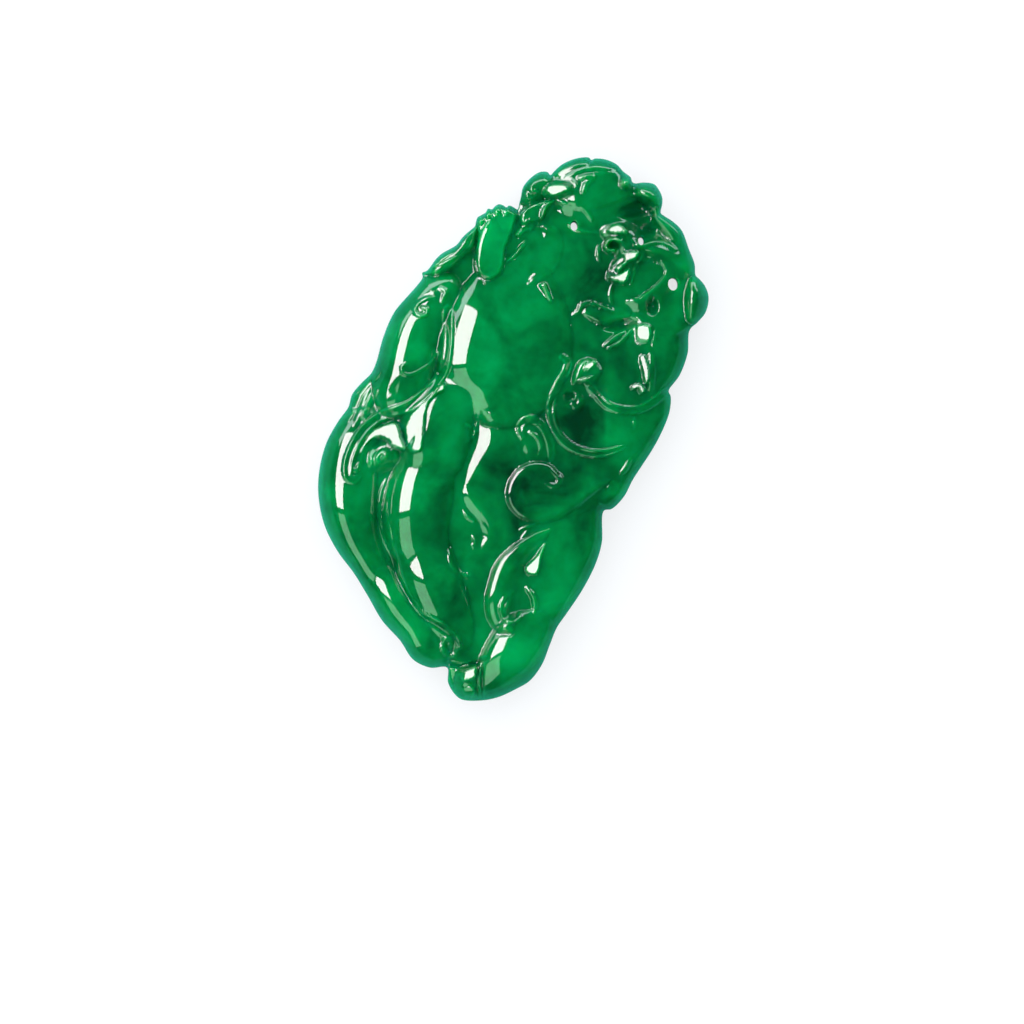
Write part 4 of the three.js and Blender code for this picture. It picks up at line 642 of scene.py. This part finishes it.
def stone_mesh():
    """Places on the sheet, heights and faces of the stone before it is pierced.

    Rings of points run from the outline in to the heart over the front, and fewer of them under
    the back, spaced there as the cosine of even turns."""
    places, heights, faces = [], [], []

    def lay(count, edge, height):
        """Adds a ring, and gives the number of its first point and its count."""
        start = sum(map(len, places))
        places.append(ring_places(count, edge))
        heights.append(height(places[-1], edge))
        return start, count

    def girdle(ring, edge):
        return np.full(len(ring), GIRDLE)

    def front(ring, edge):
        return front_height(ring[:, 0], ring[:, 1])

    def back(ring, edge):
        return np.full(len(ring), back_height(edge))

    outer = widest = lay(RIM_POINTS, 1.0, girdle)
    for i in range(1, FRONT_RINGS):
        edge = 1 - (i / FRONT_RINGS) ** RING_SPREAD
        inner = lay(max(LEAST_POINTS, round(RIM_POINTS * edge)), edge, front)
        faces.append(zipped(*inner, *outer))
        outer = inner
    faces.append(zipped(*lay(1, 0.0, front), *outer))

    outer = widest
    for i in range(1, BACK_RINGS):
        edge = math.cos(i / BACK_RINGS * math.pi / 2)
        share = BACK_SHARE if i > WIDE_BACK_RINGS else WIDE_SHARE
        inner = lay(max(LEAST_POINTS, round(RIM_POINTS * edge * share)), edge, back)
        faces.append(zipped(*inner, *outer)[:, ::-1])
        outer = inner
    faces.append(zipped(*lay(1, 0.0, back), *outer)[:, ::-1])
    return np.vstack(places), np.concatenate(heights), np.vstack(faces)


def turned(places, degrees=LEAN):
    """Places of the sheet turned, by the lean so that the long axis runs along Y."""
    lean = math.radians(degrees)
    x, y = places[:, 0], places[:, 1]
    return np.stack([x * math.cos(lean) - y * math.sin(lean),
                     x * math.sin(lean) + y * math.cos(lean)], 1)


TURNED_RIM = turned(RIM_EVEN)
CENTRE = (TURNED_RIM.min(0) + TURNED_RIM.max(0)) / 2


def placed_flat(places):
    """Places of the sheet along the axes of the scene, still in millimetres."""
    return (turned(places) - CENTRE) * POLISH


def linked(name, data):
    """An object of the scene with this data."""
    obj = bpy.data.objects.new(name, data)
    bpy.context.scene.collection.objects.link(obj)
    return obj


def solid_of(name, points, faces):
    """A smooth object from places in metres and faces."""
    mesh = bpy.data.meshes.new(name)
    mesh.from_pydata(points.tolist(), [], faces)
    mesh.validate()
    mesh.shade_smooth()
    return linked(name, mesh)


def drill(name, place, half):
    """An upright elliptical bar through the stone, standing where a hole goes."""
    n = PIERCING_SIDES
    turn = np.arange(n) / n * 2 * math.pi
    ring = np.asarray(place) + np.stack([half[0] * np.cos(turn), half[1] * np.sin(turn)], 1)
    ring = placed_flat(ring)
    bar = np.vstack([np.column_stack([ring, np.full(n, z)]) for z in PIERCING_ENDS]) * MM
    sides = [[i, (i + 1) % n, n + (i + 1) % n, n + i] for i in range(n)]
    return solid_of(name, bar, [list(range(n))[::-1], list(range(n, 2 * n))] + sides)


def pierced(solid):
    """The mesh of a solid once the holes of the openwork are taken out of it."""
    bars = [drill(f"drill_{k}", place, half) for k, (place, half) in enumerate(PIERCINGS)]
    for bar in bars:
        cut = solid.modifiers.new(bar.name, "BOOLEAN")
        cut.object, cut.operation, cut.solver = bar, "DIFFERENCE", "EXACT"
    graph = bpy.context.evaluated_depsgraph_get()
    mesh = bpy.data.meshes.new_from_object(solid.evaluated_get(graph))
    for obj in [solid] + bars:
        data = obj.data
        bpy.data.objects.remove(obj)
        bpy.data.meshes.remove(data)
    return mesh


def jade_stone():
    """The finished stone: its rings of points in metres, pierced."""
    places, heights, faces = stone_mesh()
    points = np.column_stack([placed_flat(places), heights]) * MM
    mesh = pierced(solid_of("uncut_stone", points, faces.tolist()))
    mesh.name = "jade_stone"
    return linked("jade_stone", mesh)


def mark(mesh):
    """Gives every point two numbers for the material: how cloudy the stone is there, the clouds being
    partly its own tone and partly painted shade and painted glow, and how thin it is, which paints a
    glow of light on the edge.

    A cloud is its strength times exp(-(distance / reach)^2), and the glow of the thin edge is the
    square of the share of the way from THIN_FROM to the outline."""
    spots = np.empty(len(mesh.vertices) * 3, np.float32)
    mesh.vertices.foreach_get("co", spots)
    x, y = turned(spots.reshape(-1, 3)[:, :2] / MM / POLISH + CENTRE, -LEAN).T
    cloud = np.zeros(len(x))
    # Clouds: partly the stone's own tone, partly painted shade in the valleys and the bowl and painted
    # glow where paler
    for cx, cy, reach, strength, *end in CLOUDS_SHADE_AND_GLOW:
        veil = strength * np.exp(-((x - cx) ** 2 + (y - cy) ** 2) / reach ** 2)
        cloud += veil * (np.clip((end[0] - x) / CLOUD_END, 0, 1) if end else 1)
    edge = np.minimum(edge_of(x, y)[0], 1)
    # Painted glow of light shining through the thin edge
    thin = np.clip((edge - THIN_FROM) / (1 - THIN_FROM), 0, 1) ** 2
    for name, values in (("cloud", np.clip(cloud, -1, 1)), ("thin", thin)):
        layer = mesh.attributes.new(name, "FLOAT", "POINT")
        layer.data.foreach_set("value", values.astype(np.float32))


# The material
class Num:
    """A number socket that turns Python sums into Math nodes."""

    def __init__(self, maker, socket):
        self.maker = maker
        self.socket = socket

    def math(self, operation, a, b):
        node = self.maker.node("ShaderNodeMath", {"operation": operation}, {0: a, 1: b})
        return Num(self.maker, node.outputs[0])

    def __add__(self, other):
        return self.math("ADD", self, other)

    def __radd__(self, other):
        return self.math("ADD", other, self)

    def __sub__(self, other):
        return self.math("SUBTRACT", self, other)

    def __rsub__(self, other):
        return self.math("SUBTRACT", other, self)

    def __mul__(self, other):
        return self.math("MULTIPLY", self, other)

    def __rmul__(self, other):
        return self.math("MULTIPLY", other, self)

    def clamped(self):
        return Num(self.maker, self.maker.node("ShaderNodeClamp", {}, {"Value": self}).outputs[0])


class Material:
    """A node material, and the one method that makes its nodes."""

    def __init__(self, name):
        self.data = bpy.data.materials.new(name)
        self.data.use_nodes = True
        self.tree = self.data.node_tree
        self.tree.nodes.clear()

    def node(self, kind, settings=None, inputs=None):
        """A node by its type, its settings or a ramp's stops, and its sockets' values or links."""
        made = self.tree.nodes.new(kind)
        for key, value in (settings or {}).items():
            if key == "stops":
                ramp = made.color_ramp
                while len(ramp.elements) < len(value):
                    ramp.elements.new(0.5)
                for element, (place, colour) in zip(ramp.elements, value):
                    element.position = place
                    element.color = colour
            else:
                setattr(made, key, value)
        for key, value in (inputs or {}).items():
            if isinstance(value, Num):
                value = value.socket
            if isinstance(value, bpy.types.NodeSocket):
                self.tree.links.new(value, made.inputs[key])
            else:
                made.inputs[key].default_value = value
        return made


DEEP_GREEN = (0.0, 0.04, 0.012, 1)
BODY_GREEN = (0.0, 0.17, 0.04, 1)
PALE_GREEN = (0.0, 0.33, 0.088, 1)
# The edge green is a painted glow of light shining through the thin stone
EDGE_GLOW_GREEN = (0.01, 0.36, 0.2, 1)


def jade_material():
    """Deep green jadeite: darker clouds, partly painted shade in the valleys and hollows, paler clouds
    painted as glow where light would shine through, a paler and bluer thin edge painted as light
    shining through it, a glassy polish.

    The depth of the green is a half, with a drift, a grain and the clouds added, and light is
    carried inside the stone."""
    jade = Material("jade")
    place = jade.node("ShaderNodeTexCoord").outputs["Object"]
    drift, grain, cloud, thin = (Num(jade, node.outputs["Fac"]) for node in (
        jade.node("ShaderNodeTexNoise", {}, {"Vector": place, "Scale": 190.0, "Detail": 3.0,
                                             "Distortion": 0.6}),
        jade.node("ShaderNodeTexNoise", {}, {"Vector": place, "Scale": 900.0, "Detail": 4.0}),
        jade.node("ShaderNodeAttribute", {"attribute_name": "cloud"}),
        jade.node("ShaderNodeAttribute", {"attribute_name": "thin"})))
    # The clouds paint shade into the valleys and the bowl, and a glow into the paler lobes
    depth = (0.5 + (drift - 0.5) * 1.3 + (grain - 0.5) * 0.35 - 0.45 * cloud).clamped()
    body = jade.node("ShaderNodeValToRGB", {"stops": [
        (0.0, DEEP_GREEN), (0.45, BODY_GREEN), (1.0, PALE_GREEN)]}, {"Fac": depth})
    # The thin edge is painted paler and bluer, as a glow of light shining through it
    colour = jade.node("ShaderNodeMix", {"data_type": "RGBA"},
                       {"Factor": thin * 0.8, 6: body.outputs["Color"], 7: EDGE_GLOW_GREEN})
    skin = jade.node("ShaderNodeBsdfPrincipled", {}, {
        "Base Color": colour.outputs[2], "Roughness": 0.045, "IOR": 1.66,
        "Subsurface Weight": 1.0, "Subsurface Radius": (0.2, 1.0, 0.4),
        "Subsurface Scale": 0.003})
    jade.node("ShaderNodeOutputMaterial", {}, {"Surface": skin.outputs[0]})
    return jade.data


stone = jade_stone()
mark(stone.data)
stone.data.materials.append(jade_material())
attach(stone, "root")
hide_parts("jade_carving")

# The camera
FRAME_WIDTH = 102.4        # millimetres of the sheet across the picture
FRAME_MIDDLE = (51.2, 48.8)
FRAME_HEIGHT = 0.006       # metres above the floor at which it is that wide
CAMERA_HEIGHT = 1.2
CAMERA_REACH = 20.0
SENSOR = 36.0


def laid(x, y):
    """A place of the sheet as a place on the floor of the scene, in metres."""
    place = turned(np.array([[x, y]]))[0] - CENTRE
    return np.array([place[0] * MM, place[1] * MM, 0.0])


SHEET_RIGHT = (laid(1, 0) - laid(0, 0)) / MM
SHEET_UP = (laid(0, 1) - laid(0, 0)) / MM


def placed(data, name, location, back):
    """An object at a place, its Z along a direction and its Y as near as can be to the sheet's up."""
    obj = linked(name, data)
    z = np.asarray(back, float) / np.linalg.norm(back)
    x = np.cross(SHEET_UP / np.linalg.norm(SHEET_UP), z)
    x /= np.linalg.norm(x)
    y = np.cross(z, x)
    obj.matrix_world = Matrix([(*x, 0), (*y, 0), (*z, 0), (*location, 1)]).transposed()
    return obj


lens = bpy.data.cameras.new("camera")
lens.sensor_width = SENSOR
lens.lens = SENSOR * (CAMERA_HEIGHT - FRAME_HEIGHT) / (FRAME_WIDTH * MM)
lens.clip_end = CAMERA_REACH
above = laid(*FRAME_MIDDLE) + np.array([0, 0, CAMERA_HEIGHT])
bpy.context.scene.camera = placed(lens, "camera", above, (0, 0, 1))


# The lights
def direction(azimuth, elevation):
    """A direction from the stone, by degrees to the right and up of the camera on the sheet."""
    a, e = math.radians(azimuth), math.radians(elevation)
    return (SHEET_RIGHT * math.sin(a) * math.cos(e) + SHEET_UP * math.sin(e)
            + np.array([0, 0, 1]) * math.cos(a) * math.cos(e))


def panel(name, azimuth, elevation, wide, tall, radiance, colour, seen_in, distance=0.6):
    """A soft box by the degrees it covers, seen from the stone, and by how bright its face is.

    It shows in the polish, as "glossy", or lights the body of the stone, as "diffuse"."""
    light = bpy.data.lights.new(name, "AREA")
    light.shape = "RECTANGLE"
    light.size = 2 * distance * math.tan(math.radians(wide / 2))
    light.size_y = 2 * distance * math.tan(math.radians(tall / 2))
    light.energy = radiance * light.size * light.size_y * math.pi
    light.color = colour
    way = direction(azimuth, elevation)
    lamp = placed(light, name, way * distance, way)
    lamp.visible_camera = False
    lamp.visible_glossy = seen_in == "glossy"
    lamp.visible_diffuse = seen_in == "diffuse"


panel("main_box", -46, 18.5, 32, 47, 14.4, (1.0, 0.86, 0.93), "glossy")
panel("low_box", -46, -37, 32, 50, 3.1, (0.58, 1.0, 0.7), "glossy")
panel("top_strip", 0, 75, 120, 24, 5.0, (0.82, 0.94, 1.0), "glossy")
panel("overhead", -12, 12, 100, 100, 2.6, (1.0, 1.0, 1.0), "diffuse")

world = bpy.data.worlds.new("studio")
world.use_nodes = True
sky = world.node_tree.nodes["Background"]
sky.inputs["Color"].default_value = (1, 1, 1, 1)
sky.inputs["Strength"].default_value = 0.012
bpy.context.scene.world = world
bpy.context.scene.view_settings.view_transform = "Standard"

# The floor: pale as seen, and green where it only shows in the polish or throws light back
FLOOR = 3.0                # metres from its middle to each side
corners = [(-FLOOR, -FLOOR, 0), (FLOOR, -FLOOR, 0), (FLOOR, FLOOR, 0), (-FLOOR, FLOOR, 0)]
floor_data = bpy.data.meshes.new("floor")
floor_data.from_pydata(corners, [], [(0, 1, 2, 3)])
floor = linked("floor", floor_data)
paper = Material("paper")
lit = paper.node("ShaderNodeBsdfDiffuse", {}, {"Color": (0.2, 0.21, 0.22, 1)})
glow = paper.node("ShaderNodeEmission", {}, {"Color": (0.97, 0.985, 1.0, 1), "Strength": 0.76})
seen = paper.node("ShaderNodeAddShader", {}, {0: lit.outputs[0], 1: glow.outputs[0]})
unseen = paper.node("ShaderNodeBsdfDiffuse", {}, {"Color": (0.05, 0.42, 0.3, 1)})
direct = paper.node("ShaderNodeLightPath").outputs["Is Camera Ray"]
sheet = paper.node("ShaderNodeMixShader", {}, {0: direct, 1: unseen.outputs[0], 2: seen.outputs[0]})
paper.node("ShaderNodeOutputMaterial", {}, {"Surface": sheet.outputs[0]})
floor_data.materials.append(paper.data)
